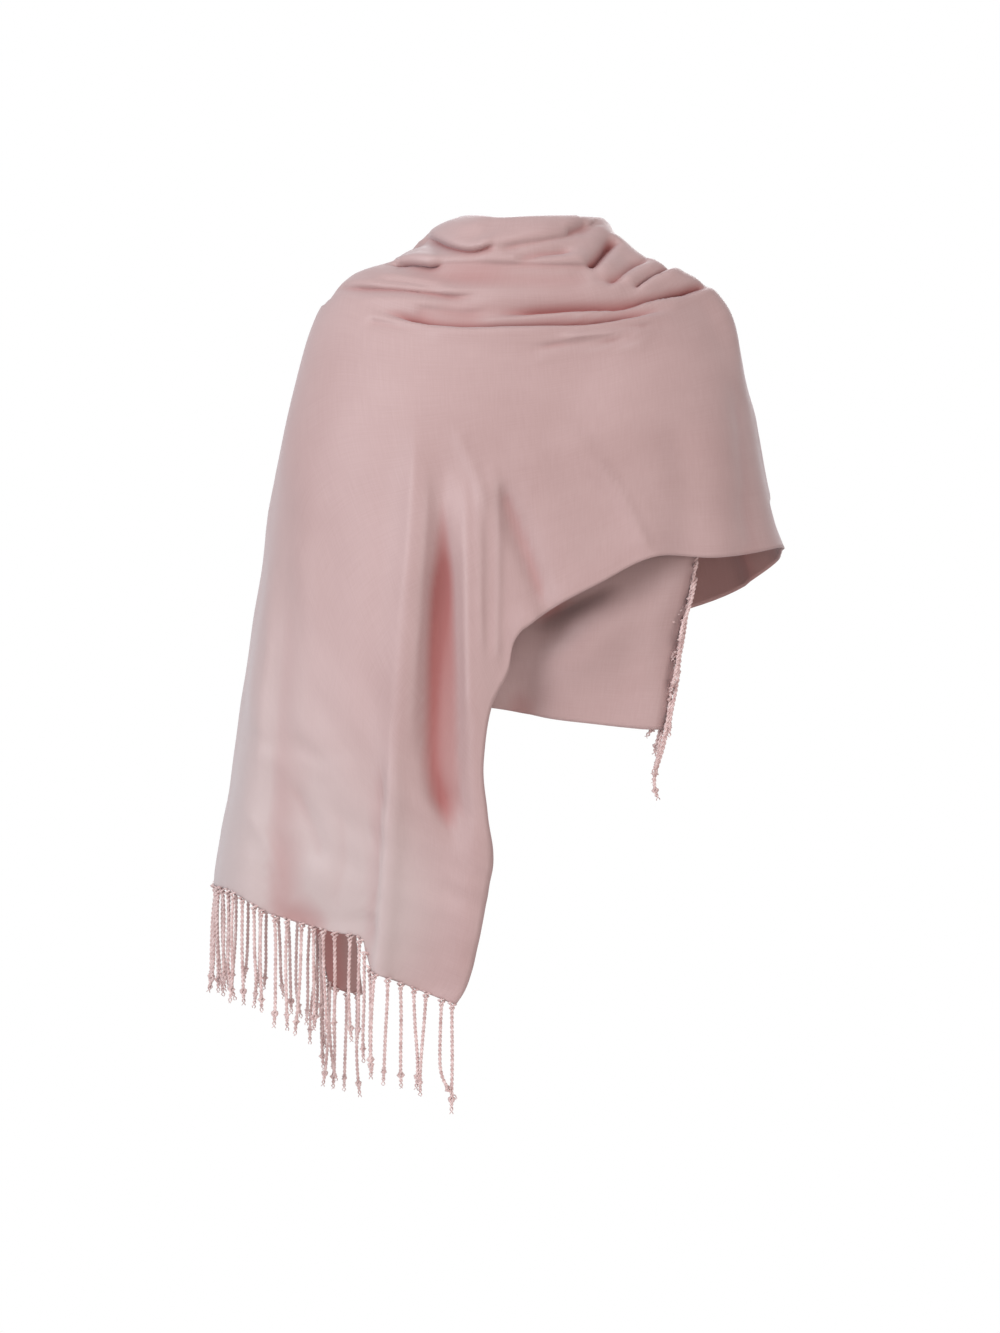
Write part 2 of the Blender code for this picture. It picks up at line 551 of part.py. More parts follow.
def hang_strand(strip, root_face, frame, rings):
    """Draws one strand out of a rim face of its backing strip, level by level."""
    face, centre = root_face, root_face.calc_center_median()
    across, normal, _ = frame
    for next_centre, next_across, next_normal, width in rings:
        drawn = bmesh.ops.extrude_discrete_faces(strip, faces=[face])["faces"][0]
        for vert in drawn.verts:
            offset = vert.co - centre
            side = math.copysign(width / 2, offset.dot(across))
            out = math.copysign(width / 2, offset.dot(normal))
            vert.co = next_centre + next_across * side + next_normal * out
        face, centre, across, normal = drawn, next_centre, next_across, next_normal


def strand_widths(station, low, high, corner):
    """Shares of the cloth's width at each strand's two sides, at an even pitch along the cloth's edge."""
    shares = np.linspace(low, high, EDGE_SAMPLES)
    edge = folded_cloth(np.full(EDGE_SAMPLES, station), shares)
    arc = np.concatenate([[0.0], np.cumsum(np.linalg.norm(np.diff(edge, axis=0), axis=1))])
    count = int((arc[-1] - 2 * corner) / STRAND_PITCH) + 1
    centres = np.linspace(corner, arc[-1] - corner, count)
    sides = np.sort(np.concatenate([centres - STRAND_WIDTH / 2, centres + STRAND_WIDTH / 2]))
    return np.interp(sides, arc, shares)


def strip_rows(fringe, sides, guide_rows):
    """Widths of a backing strip's rows: its ends, its strands' sides, and the guide rows between strands."""
    half_gap = SEAM_GAP / 2 / CLOTH_WIDTH
    low = fringe.across_from + (half_gap if fringe.across_from > 0 else 0.0)
    high = fringe.across_to - (half_gap if fringe.across_to < 1 else 0.0)
    between = np.searchsorted(sides, guide_rows) % 2 == 0
    clear = np.abs(guide_rows[:, None] - sides).min(axis=1) > LEAST_ROW / CLOTH_WIDTH
    inside = (guide_rows > low) & (guide_rows < high)
    return np.sort(np.concatenate([[low], sides, [high], guide_rows[between & clear & inside]]))


def make_fringe(fringe, finish):
    """One fringe: a narrow backing strip along the cloth's end, and knotted strands drawn out of its rim."""
    at_inner = fringe.end == "inner_end"
    outward = -1 if at_inner else 1
    station = STATION[fringe.end]
    guide_rows = shared_rows() if at_inner else hanging_rows()
    sides = strand_widths(station, fringe.across_from, fringe.across_to, fringe.corner)
    rows = strip_rows(fringe, sides, guide_rows)
    numbers = {row: number for number, row in enumerate(np.searchsorted(rows, sides[::2]))}
    strip = flat_wall(2, len(rows))
    place = spread(np.arange(len(rows)))
    roots = {}
    for face in strip.faces:
        middle = face.calc_center_median()
        row = int(place(middle.y))
        if abs(middle.x - outward) < RIM_TOLERANCE and row in numbers:
            roots[numbers[row]] = face
    stations = sorted([station, station - outward * STRIP_DEPTH])
    drape_strip(strip, stations, rows, guide_rows, (not at_inner, at_inner))
    for number, face in sorted(roots.items()):
        width = np.full(1, (sides[2 * number] + sides[2 * number + 1]) / 2)
        _, across, normal = cloth_frame(folded_cloth, np.full(1, station), width, FRAME_STEP)
        frame = Vector(across[0]), Vector(normal[0]), Vector(np.cross(across[0], normal[0])) * outward
        root = face.calc_center_median()
        hang_strand(strip, face, frame, strand_rings(root, frame, number, fringe.stand_off))
    return new_object(fringe.name, strip, finish)


def main():
    """Builds every stretch and fringe of the stole."""
    for old in list(bpy.data.objects):
        bpy.data.objects.remove(old)
    cloth = material("cloth", PINK, 0.5)
    threads = material("fringe", FRINGE_PINK, 0.5)
    for stretch in STRETCHES:
        make_stretch(stretch, cloth)
    for fringe in FRINGES:
        make_fringe(fringe, threads)


main()
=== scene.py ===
"""Evening stole: one fine cloth wound once and a half round the shoulders, with twisted fringes.

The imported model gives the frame. The script lays a thin cloth on the same winding, presses its folds in
from tables, twists the three fringes, and lights it all over a plain pale floor. Everything is in metres,
+Z up, with the origin between the wearer's shoulders, but the tables of folds are in millimetres.
"""

import logging
import math
from dataclasses import dataclass, field
from enum import Enum
from typing import ClassVar

import bmesh
import bpy
import numpy as np
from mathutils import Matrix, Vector


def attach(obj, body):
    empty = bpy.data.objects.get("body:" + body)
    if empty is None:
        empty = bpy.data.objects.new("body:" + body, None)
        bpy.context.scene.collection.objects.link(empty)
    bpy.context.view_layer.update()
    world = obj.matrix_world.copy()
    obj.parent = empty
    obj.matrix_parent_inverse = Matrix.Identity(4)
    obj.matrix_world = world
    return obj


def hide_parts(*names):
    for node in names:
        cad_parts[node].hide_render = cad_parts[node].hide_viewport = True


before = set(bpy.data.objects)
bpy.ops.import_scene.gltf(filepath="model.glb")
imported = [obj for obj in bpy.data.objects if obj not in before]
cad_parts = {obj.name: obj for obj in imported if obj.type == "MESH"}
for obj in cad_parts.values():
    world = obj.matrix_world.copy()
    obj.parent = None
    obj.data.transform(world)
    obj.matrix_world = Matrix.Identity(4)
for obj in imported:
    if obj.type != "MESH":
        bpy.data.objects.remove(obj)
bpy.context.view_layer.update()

LOG = logging.getLogger("stole")
MM = 0.001
TINY = 1e-12
UP = np.array([0.0, 0.0, 1.0])

Colour = tuple[float, float, float]
Place = tuple[float, float, float]
Socket = bpy.types.NodeSocket


# ---- small helpers ----------------------------------------------------------------------------------


def smooth_path(stations: np.ndarray, values: np.ndarray, at: np.ndarray) -> np.ndarray:
    """Reads values from a smooth curve through table rows.

    Args:
        stations: rising places of the rows.
        values: the rows' values.
        at: places to read.

    Returns:
        The curve's value at each place.
    """
    stations = np.asarray(stations, float)
    values = np.asarray(values, float)
    steps = np.diff(stations)
    rises = np.diff(values) / steps
    slopes = np.empty_like(values)
    slopes[0], slopes[-1] = rises[0], rises[-1]
    slopes[1:-1] = (rises[:-1] * steps[1:] + rises[1:] * steps[:-1]) / (steps[1:] + steps[:-1])
    at = np.clip(at, stations[0], stations[-1])
    row = np.clip(np.searchsorted(stations, at, side="right") - 1, 0, len(steps) - 1)
    run = steps[row]
    share = (at - stations[row]) / run
    return (
        values[row] * (1 + 2 * share) * (1 - share) ** 2
        + values[row + 1] * share * share * (3 - 2 * share)
        + slopes[row] * run * share * (1 - share) ** 2
        - slopes[row + 1] * run * share * share * (1 - share)
    )


def smoothstep(share: np.ndarray) -> np.ndarray:
    """A soft step from 0 to 1."""
    share = np.clip(share, 0.0, 1.0)
    return share * share * (3 - 2 * share)


def unit(vectors: np.ndarray) -> np.ndarray:
    """Vectors of length 1 along the last axis."""
    return vectors / np.maximum(np.linalg.norm(vectors, axis=-1, keepdims=True), TINY)


def arc_lengths(points: np.ndarray) -> np.ndarray:
    """How far along a line of points each one lies."""
    return np.concatenate([[0.0], np.cumsum(np.linalg.norm(np.diff(points, axis=0), axis=1))])


def grid_normals(points: np.ndarray) -> np.ndarray:
    """Outward normals of the cloth.

    Args:
        points: a grid of points that runs along the cloth, then across it.

    Returns:
        One normal for each point.
    """
    along = np.gradient(points, axis=0)
    across = np.gradient(points, axis=1)
    return unit(np.cross(along, across))


def finished_mesh(shape: bmesh.types.BMesh, name: str, *materials: bpy.types.Material) -> bpy.types.Mesh:
    """Turns a shape into a mesh and frees it.

    Args:
        shape: the shape.
        name: the mesh's name.
        materials: its materials, in the order of its slots.

    Returns:
        The mesh.
    """
    mesh = bpy.data.meshes.new(name)
    shape.to_mesh(mesh)
    shape.free()
    for material in materials:
        mesh.materials.append(material)
    return mesh


def new_object(name: str, data: bpy.types.ID) -> bpy.types.Object:
    """A new object in the scene.

    Args:
        name: its name.
        data: its mesh, light or camera.

    Returns:
        The object.
    """
    made = bpy.data.objects.new(name, data)
    bpy.context.scene.collection.objects.link(made)
    return made


# ---- the form that the cloth is wound on ------------------------------------------------------------


@dataclass(frozen=True)
class Ring:
    """One ring round the figure: half widths, half depths, heights at four sides, and how square it is."""

    name: str
    right: float
    left: float
    front: float
    back: float
    z_front: float
    z_right: float
    z_left: float
    z_back: float
    square: float


OVER_RINGS = (
    Ring("tuck", 0.064, 0.068, 0.052, 0.068, 0.018, 0.020, 0.046, 0.030, 2.0),
    Ring("lip", 0.083, 0.072, 0.076, 0.088, 0.045, 0.051, 0.052, 0.060, 2.0),
    Ring("roll", 0.101, 0.099, 0.093, 0.104, 0.024, 0.028, 0.035, 0.036, 2.1),
    Ring("collar", 0.124, 0.131, 0.104, 0.112, -0.004, 0.008, 0.013, 0.004, 2.2),
    Ring("yoke", 0.184, 0.189, 0.118, 0.124, -0.050, -0.014, -0.007, -0.046, 2.3),
    Ring("shoulder", 0.2205, 0.224, 0.134, 0.136, -0.112, -0.068, -0.062, -0.112, 2.4),
    Ring("bust", 0.2410, 0.254, 0.150, 0.138, -0.195, -0.176, -0.182, -0.195, 2.5),
    Ring("elbow", 0.2600, 0.268, 0.152, 0.136, -0.295, -0.264, -0.290, -0.290, 2.5),
    Ring("waist", 0.2860, 0.289, 0.152, 0.134, -0.430, -0.340, -0.430, -0.430, 2.5),
    Ring("hip", 0.2950, 0.308, 0.149, 0.133, -0.560, -0.470, -0.560, -0.560, 2.5),
    Ring("thigh", 0.3000, 0.325, 0.140, 0.131, -0.690, -0.600, -0.665, -0.690, 2.5),
    Ring("hem", 0.3000, 0.331, 0.130, 0.129, -0.800, -0.730, -0.760, -0.800, 2.5),
)
UNDER_RINGS = (
    Ring("tuck", 0.050, 0.057, 0.042, 0.060, 0.010, 0.012, 0.036, 0.024, 2.0),
    Ring("lip", 0.070, 0.061, 0.062, 0.076, 0.034, 0.040, 0.040, 0.050, 2.0),
    Ring("roll", 0.088, 0.086, 0.078, 0.090, 0.010, 0.014, 0.022, 0.024, 2.1),
    Ring("collar", 0.108, 0.117, 0.086, 0.098, -0.018, -0.006, 0.000, -0.008, 2.2),
    Ring("yoke", 0.168, 0.174, 0.098, 0.111, -0.064, -0.028, -0.021, -0.060, 2.3),
    Ring("shoulder", 0.204, 0.208, 0.107, 0.123, -0.122, -0.080, -0.075, -0.122, 2.4),
    Ring("bust", 0.224, 0.237, 0.112, 0.125, -0.200, -0.182, -0.190, -0.200, 2.5),
    Ring("elbow", 0.241, 0.250, 0.112, 0.122, -0.295, -0.268, -0.290, -0.290, 2.5),
    Ring("waist", 0.250, 0.262, 0.110, 0.120, -0.430, -0.350, -0.430, -0.430, 2.5),
    Ring("hip", 0.260, 0.275, 0.110, 0.120, -0.560, -0.470, -0.560, -0.560, 2.5),
    Ring("thigh", 0.265, 0.290, 0.110, 0.120, -0.690, -0.600, -0.665, -0.690, 2.5),
    Ring("hem", 0.270, 0.300, 0.110, 0.120, -0.800, -0.730, -0.760, -0.800, 2.5),
)


@dataclass(frozen=True)
class Figure:
    """The general figure's outer form: a stack of rings for each of the two layers of cloth."""

    over: tuple[Ring, ...] = OVER_RINGS
    under: tuple[Ring, ...] = UNDER_RINGS

    def point(self, turn: np.ndarray, ring: np.ndarray, layer: np.ndarray) -> np.ndarray:
        """Places on the figure.

        Args:
            turn: degrees round the figure, 0 at the front and -90 on the hanging side.
            ring: row in the ring tables, which may lie between two rows.
            layer: 0 for the over rings, 1 for the under rings.

        Returns:
            Points, one for each turn.
        """
        layer = np.asarray(layer)[..., None]
        over = self._ring_point(self.over, turn, ring)
        return over * (1 - layer) + self._ring_point(self.under, turn, ring) * layer

    @staticmethod
    def _ring_point(rings: tuple[Ring, ...], turn: np.ndarray, ring: np.ndarray) -> np.ndarray:
        """Places on one stack of rings.

        Args:
            rings: the stack.
            turn: degrees round the figure.
            ring: row in the stack.

        Returns:
            Points, one for each turn.
        """

        def read(column: str) -> np.ndarray:
            """One column of the stack at each ring."""
            return smooth_path(np.arange(len(rings)), [getattr(row, column) for row in rings], ring)

        angle = np.radians(turn)
        across, along = np.sin(angle), np.cos(angle)
        power = 2 / read("square")
        half = np.where(across > 0, read("right"), read("left"))
        depth = np.where(along > 0, read("front"), read("back"))
        side = across**2
        z_side = np.where(across > 0, read("z_right"), read("z_left"))
        z_end = np.where(along > 0, read("z_front"), read("z_back"))
        x = half * np.sign(across) * np.abs(across) ** power
        y = -depth * np.sign(along) * np.abs(along) ** power
        return np.stack([x, y, z_side * side + z_end * (1 - side)], axis=-1)


@dataclass(frozen=True)
class Section:
    """One line across the cloth, from its neck edge to its hem.

    Turns are degrees round the figure, and rings are rows of its ring tables. The hem is found from its x and
    z near its turn, or from its turn and z where it has no x. layer is 0 for the over rings and 1 for the
    under rings. mid is the turn and ring half way where they aren't the mean of the two ends, and bow raises
    the line's quarters, in rings.
    """

    name: str
    neck_turn: float
    neck_ring: float
    hem_turn: float
    hem_x: float | None
    hem_z: float
    layer: float = 0.0
    mid: tuple[float, float] | None = None
    bow: float = 0.0


SECTIONS = (
    Section("inner_end", 60, 3.6, 30, 0.1400, -0.4806, 1.0, mid=(46, 6.2)),
    Section("under_left", 34, 3.6, 15, 0.0748, -0.4754, 1.0),
    Section("under_mid", 8, 3.6, 5, 0.0243, -0.4694, 1.0),
    Section("under_right", -18, 3.6, -8, -0.0364, -0.4583, 1.0),
    Section("under_belly", -42, 3.0, -35, -0.1300, -0.4480, 1.0),
    Section("under_arm_front", -66, 1.6, -66, -0.2250, -0.4400, 1.0),
    Section("under_arm", -90, 0.4, -90, None, -0.4320, 1.0),
    Section("under_arm_back", -114, 0.0, -114, None, -0.4240, 1.0),
    Section("back_right", -140, 0.0, -140, None, -0.4140, 1.0),
    Section("back_mid_right", -160, 0.0, -160, None, -0.4030, 0.45),
    Section("back_mid", -182, 0.0, -182, None, -0.3880),
    Section("back_left", -206, 0.0, -208, None, -0.3620),
    Section("back_arm", -238, 0.0, -240, None, -0.3240),
    Section("arm", -270, 0.0, -270, None, -0.2940),
    Section("chest_arm", -294, 0.0, -300, 0.1983, -0.3056),
    Section("chest_left", -316, 0.0, -330, 0.1299, -0.3060),
    Section("chest_mid_left", -336, 0.0, -345, 0.0740, -0.3326),
    Section("chest_mid", -358, 0.0, -358, 0.0238, -0.3598),
    Section("chest_right", -382, 0.0, -365, -0.0112, -0.3898),
    Section("turn_start", -406, 0.0, -365, -0.0182, -0.4218),
    Section("turn_mid", -432, 0.3, -367, -0.0363, -0.4578),
    Section("turn_end", -460, 1.3, -368, -0.0463, -0.5099, mid=(-420, 4.6)),
    Section("hang_yoke", -484, 2.8, -368, -0.0463, -0.5599, mid=(-438, 5.4)),
    Section("hang_arm", -497, 4.6, -368, -0.0413, -0.6001, mid=(-446, 6.4)),
    Section("hang_elbow", -503, 6.6, -368, -0.0443, -0.6403, mid=(-450, 7.4)),
    Section("hang_wrist", -506, 8.6, -370, -0.0544, -0.6909, mid=(-450, 8.6)),
    Section("outer_end", -513, 10.65, -378, -0.0716, -0.7553, mid=(-450, 9.82), bow=0.16),
)


@dataclass(frozen=True)
class EdgeLift:
    """A place on the outer end's edge, as a share of the width, and how many millimetres it is lifted."""

    across: float
    lift: float


EDGE_LIFTS = (
    EdgeLift(0.00, -19),
    EdgeLift(0.05, -32),
    EdgeLift(0.10, -42),
    EdgeLift(0.115, 20),
    EdgeLift(0.14, 12),
    EdgeLift(0.17, 5),
    EdgeLift(0.20, 0),
    EdgeLift(0.52, 0),
    EdgeLift(0.57, -4),
    EdgeLift(0.63, -11),
    EdgeLift(0.68, -4),
    EdgeLift(0.727, 5),
    EdgeLift(0.775, 15),
    EdgeLift(0.827, 28),
    EdgeLift(0.842, 0),
    EdgeLift(1.00, 0),
)


@dataclass(frozen=True)
class EdgeSway:
    """A place on the long edge, in metres before the outer end, and how many millimetres it swells there."""

    before_end: float
    sway: float


EDGE_SWAYS = (
    EdgeSway(0.68, 0),
    EdgeSway(0.58, 4),
    EdgeSway(0.51, 8),
    EdgeSway(0.43, 8),
    EdgeSway(0.31, 7),
    EdgeSway(0.15, 7),
    EdgeSway(0.08, 8),
    EdgeSway(0.03, 6),
    EdgeSway(0.00, 1),
)


@dataclass
class Winding:
    """The smooth course of the cloth round the figure, before its folds."""

    figure: Figure
    sections: tuple[Section, ...] = SECTIONS
    edge_lifts: tuple[EdgeLift, ...] = EDGE_LIFTS
    lift_reach: float = 0.20
    edge_sways: tuple[EdgeSway, ...] = EDGE_SWAYS
    sway_share: float = 0.16
    gather_arc: float = 0.170
    gather_share: float = 0.30
    line_samples: int = 96
    hem_rounds: int = 12
    hem_rings: int = 400
    hem_turns: int = 721
    hem_reach: float = 45.0
    first_hem_ring: float = 3.0
    controls: np.ndarray = field(init=False)
    stations: np.ndarray = field(init=False)

    # the columns of controls: the neck's, middle's and hem's turns and rings, the layer and the bow
    turns: ClassVar[slice] = slice(0, 3)
    rings: ClassVar[slice] = slice(3, 6)
    layer: ClassVar[int] = 6
    bow: ClassVar[int] = 7

    def __post_init__(self) -> None:
        """Works out the table of sections and each one's station along the cloth."""
        rows = []
        for section in self.sections:
            hem_turn, hem_ring = self._hem_place(section)
            mean = ((section.neck_turn + hem_turn) / 2, (section.neck_ring + hem_ring) / 2)
            mid_turn, mid_ring = section.mid or mean
            turns = (section.neck_turn, mid_turn, hem_turn)
            rings = (section.neck_ring, mid_ring, hem_ring)
            rows.append(turns + rings + (section.layer, section.bow))
        self.controls = np.array(rows, float)
        turns, rings = self.controls[:, self.turns].T, self.controls[:, self.rings].T
        layers = self.controls[:, self.layer]
        lines = [self.figure.point(turn, ring, layers) for turn, ring in zip(turns, rings)]
        steps = np.mean([np.linalg.norm(np.diff(line, axis=0), axis=1) for line in lines], axis=0)
        self.stations = np.concatenate([[0.0], np.cumsum(steps)])

    def station(self, name: str) -> float:
        """How far along the cloth a named section lies."""
        names = [section.name for section in self.sections]
        return float(self.stations[names.index(name)])

    def points(self, stations: np.ndarray, widths: np.ndarray) -> np.ndarray:
        """A grid of points of the winding.

        Args:
            stations: places along the cloth.
            widths: shares of the cloth's width, 0 at the neck.

        Returns:
            Points with one row for each station and one column for each width.
        """
        columns = [smooth_path(self.stations, column, stations) for column in self.controls.T]
        control = np.stack(columns, axis=-1)
        shares = np.linspace(0, 1, self.line_samples)
        line = self._on_figure(control, shares[None, :])
        lengths = np.cumsum(np.linalg.norm(np.diff(line, axis=1), axis=2), axis=1)
        arc = np.concatenate([np.zeros((len(stations), 1)), lengths], axis=1)
        gathered = self.gather_arc * widths / self.gather_share
        spare = (widths - self.gather_share) / (1 - self.gather_share)
        plain = self.gather_arc + (arc[:, -1:] - self.gather_arc) * spare[None, :]
        wanted = np.where(widths[None, :] < self.gather_share, gathered[None, :], plain)
        share = np.array([np.interp(want, known, shares) for want, known in zip(wanted, arc)])
        points = self._on_figure(control, share)
        points[..., 2] += self._edge_lift(stations, widths)
        points[..., 0] += self._edge_sway(stations, widths)
        return points

    def _on_figure(self, control: np.ndarray, share: np.ndarray) -> np.ndarray:
        """Points of each section: a parabola through its neck, middle and hem, with its bow.

        Args:
            control: a row of controls for each section.
            share: shares of the way from neck to hem, with one row for each section or one for all.

        Returns:
            Points with one row for each section and one column for each share.
        """
        control = control[:, None, :]
        near, mid, far = (1 - share) * (1 - 2 * share), 4 * share * (1 - share), share * (2 * share - 1)
        turn_neck, turn_mid, turn_hem = np.moveaxis(control[..., self.turns], -1, 0)
        ring_neck, ring_mid, ring_hem = np.moveaxis(control[..., self.rings], -1, 0)
        turn = turn_neck * near + turn_mid * mid + turn_hem * far
        ring = ring_neck * near + ring_mid * mid + ring_hem * far
        ring = ring - control[..., self.bow] * np.sin(2 * math.pi * share) ** 2
        return self.figure.point(turn, ring, np.broadcast_to(control[..., self.layer], turn.shape))

    def _edge_lift(self, stations: np.ndarray, widths: np.ndarray) -> np.ndarray:
        """How far the cloth near the outer end is lifted, so that its edge hangs in steps.

        Args:
            stations: places along the cloth.
            widths: shares of its width.

        Returns:
            Metres, for the grid of both.
        """
        places = [row.across for row in self.edge_lifts]
        lifts = np.interp(widths, places, [row.lift for row in self.edge_lifts])
        share = smoothstep((stations - self.stations[-1]) / self.lift_reach + 1)
        return share[:, None] * lifts[None, :] * MM

    def _edge_sway(self, stations: np.ndarray, widths: np.ndarray) -> np.ndarray:
        """How far the long edge swells out beside the hanging end, down to its round corner.

        Args:
            stations: places along the cloth.
            widths: shares of its width.

        Returns:
            Metres, for the grid of both.
        """
        places = [self.stations[-1] - row.before_end for row in self.edge_sways]
        sways = smooth_path(places, [row.sway for row in self.edge_sways], stations)
        near = smoothstep((widths - 1) / self.sway_share + 1)
        return sways[:, None] * near[None, :] * MM

    def _hem_place(self, section: Section) -> tuple[float, float]:
        """The turn and ring of a section's hem, found from its real place on the figure.

        Args:
            section: the section.

        Returns:
            Its turn in degrees, and its row in the ring tables.
        """
        turn = float(section.hem_turn)
        rings = np.linspace(self.first_hem_ring, len(self.figure.over) - 1, self.hem_rings)
        turns = section.hem_turn + np.linspace(-self.hem_reach, self.hem_reach, self.hem_turns)
        ring = self.first_hem_ring
        for _ in range(self.hem_rounds):
            layer = np.full(self.hem_rings, section.layer)
            heights = self.figure.point(np.full(self.hem_rings, turn), rings, layer)[:, 2]
            ring = float(np.interp(-section.hem_z, -heights, rings))
            if section.hem_x is None:
                break
            layer = np.full(self.hem_turns, section.layer)
            reach = self.figure.point(turns, np.full(self.hem_turns, ring), layer)[:, 0]
            turn = float(turns[np.argmin(np.abs(reach - section.hem_x))])
        return turn, ring


# ---- folds ------------------------------------------------------------------------------------------


class View(Enum):
    """How a fold's line is read: across and up on the front or the back, or degrees round and up."""

    FRONT = "front"
    BACK = "back"
    ROUND = "round"


class Span(Enum):
    """The run of sections that a fold lies in."""

    UNDER = ("inner_end", "under_arm_back")
    WRAP = ("back_right", "turn_mid")
    OVER = ("back_arm", "outer_end")
    HANG = ("chest_mid_left", "outer_end")


class Ends(Enum):
    """Which ends of a fold run out flat: the first alone, or both."""

    FIRST = "first"
    BOTH = "both"


@dataclass(frozen=True)
class Fold:
    """A soft fold along a line, in millimetres, or degrees round the figure and up where its view is ROUND.

    rise is how far the cloth stands out on the line, negative for a trough. step lifts the cloth on one side
    of the line and sinks it on the other, and lap draws the two sides over each other.
    """

    name: str
    span: Span
    view: View
    width: float
    rise: float
    line: tuple[tuple[float, float], ...]
    step: float = 0.0
    lap: float = 0.0
    ends: Ends = Ends.BOTH


# The tables are pressed in one after another. FORMS correct the large shape, and leave the colour alone.
FORMS = (
    Fold("shoulder_lift", Span.OVER, View.FRONT, 18, 9,
         line=((64, 40), (84, 30), (100, 16), (114, 4), (128, -3), (146, -13), (166, -21), (186, -32),
               (204, -56), (217, -100), (228, -170))),
    Fold("shoulder_drop", Span.OVER, View.ROUND, 34, -11,
         line=((-92, -44), (-92, -24), (-92, -8), (-92, 2), (-92, 8), (-92, 15))),
    Fold("arm_hem", Span.OVER, View.ROUND, 18, -6, ends=Ends.FIRST,
         line=((90, -236), (92, -270), (94, -306))),
)

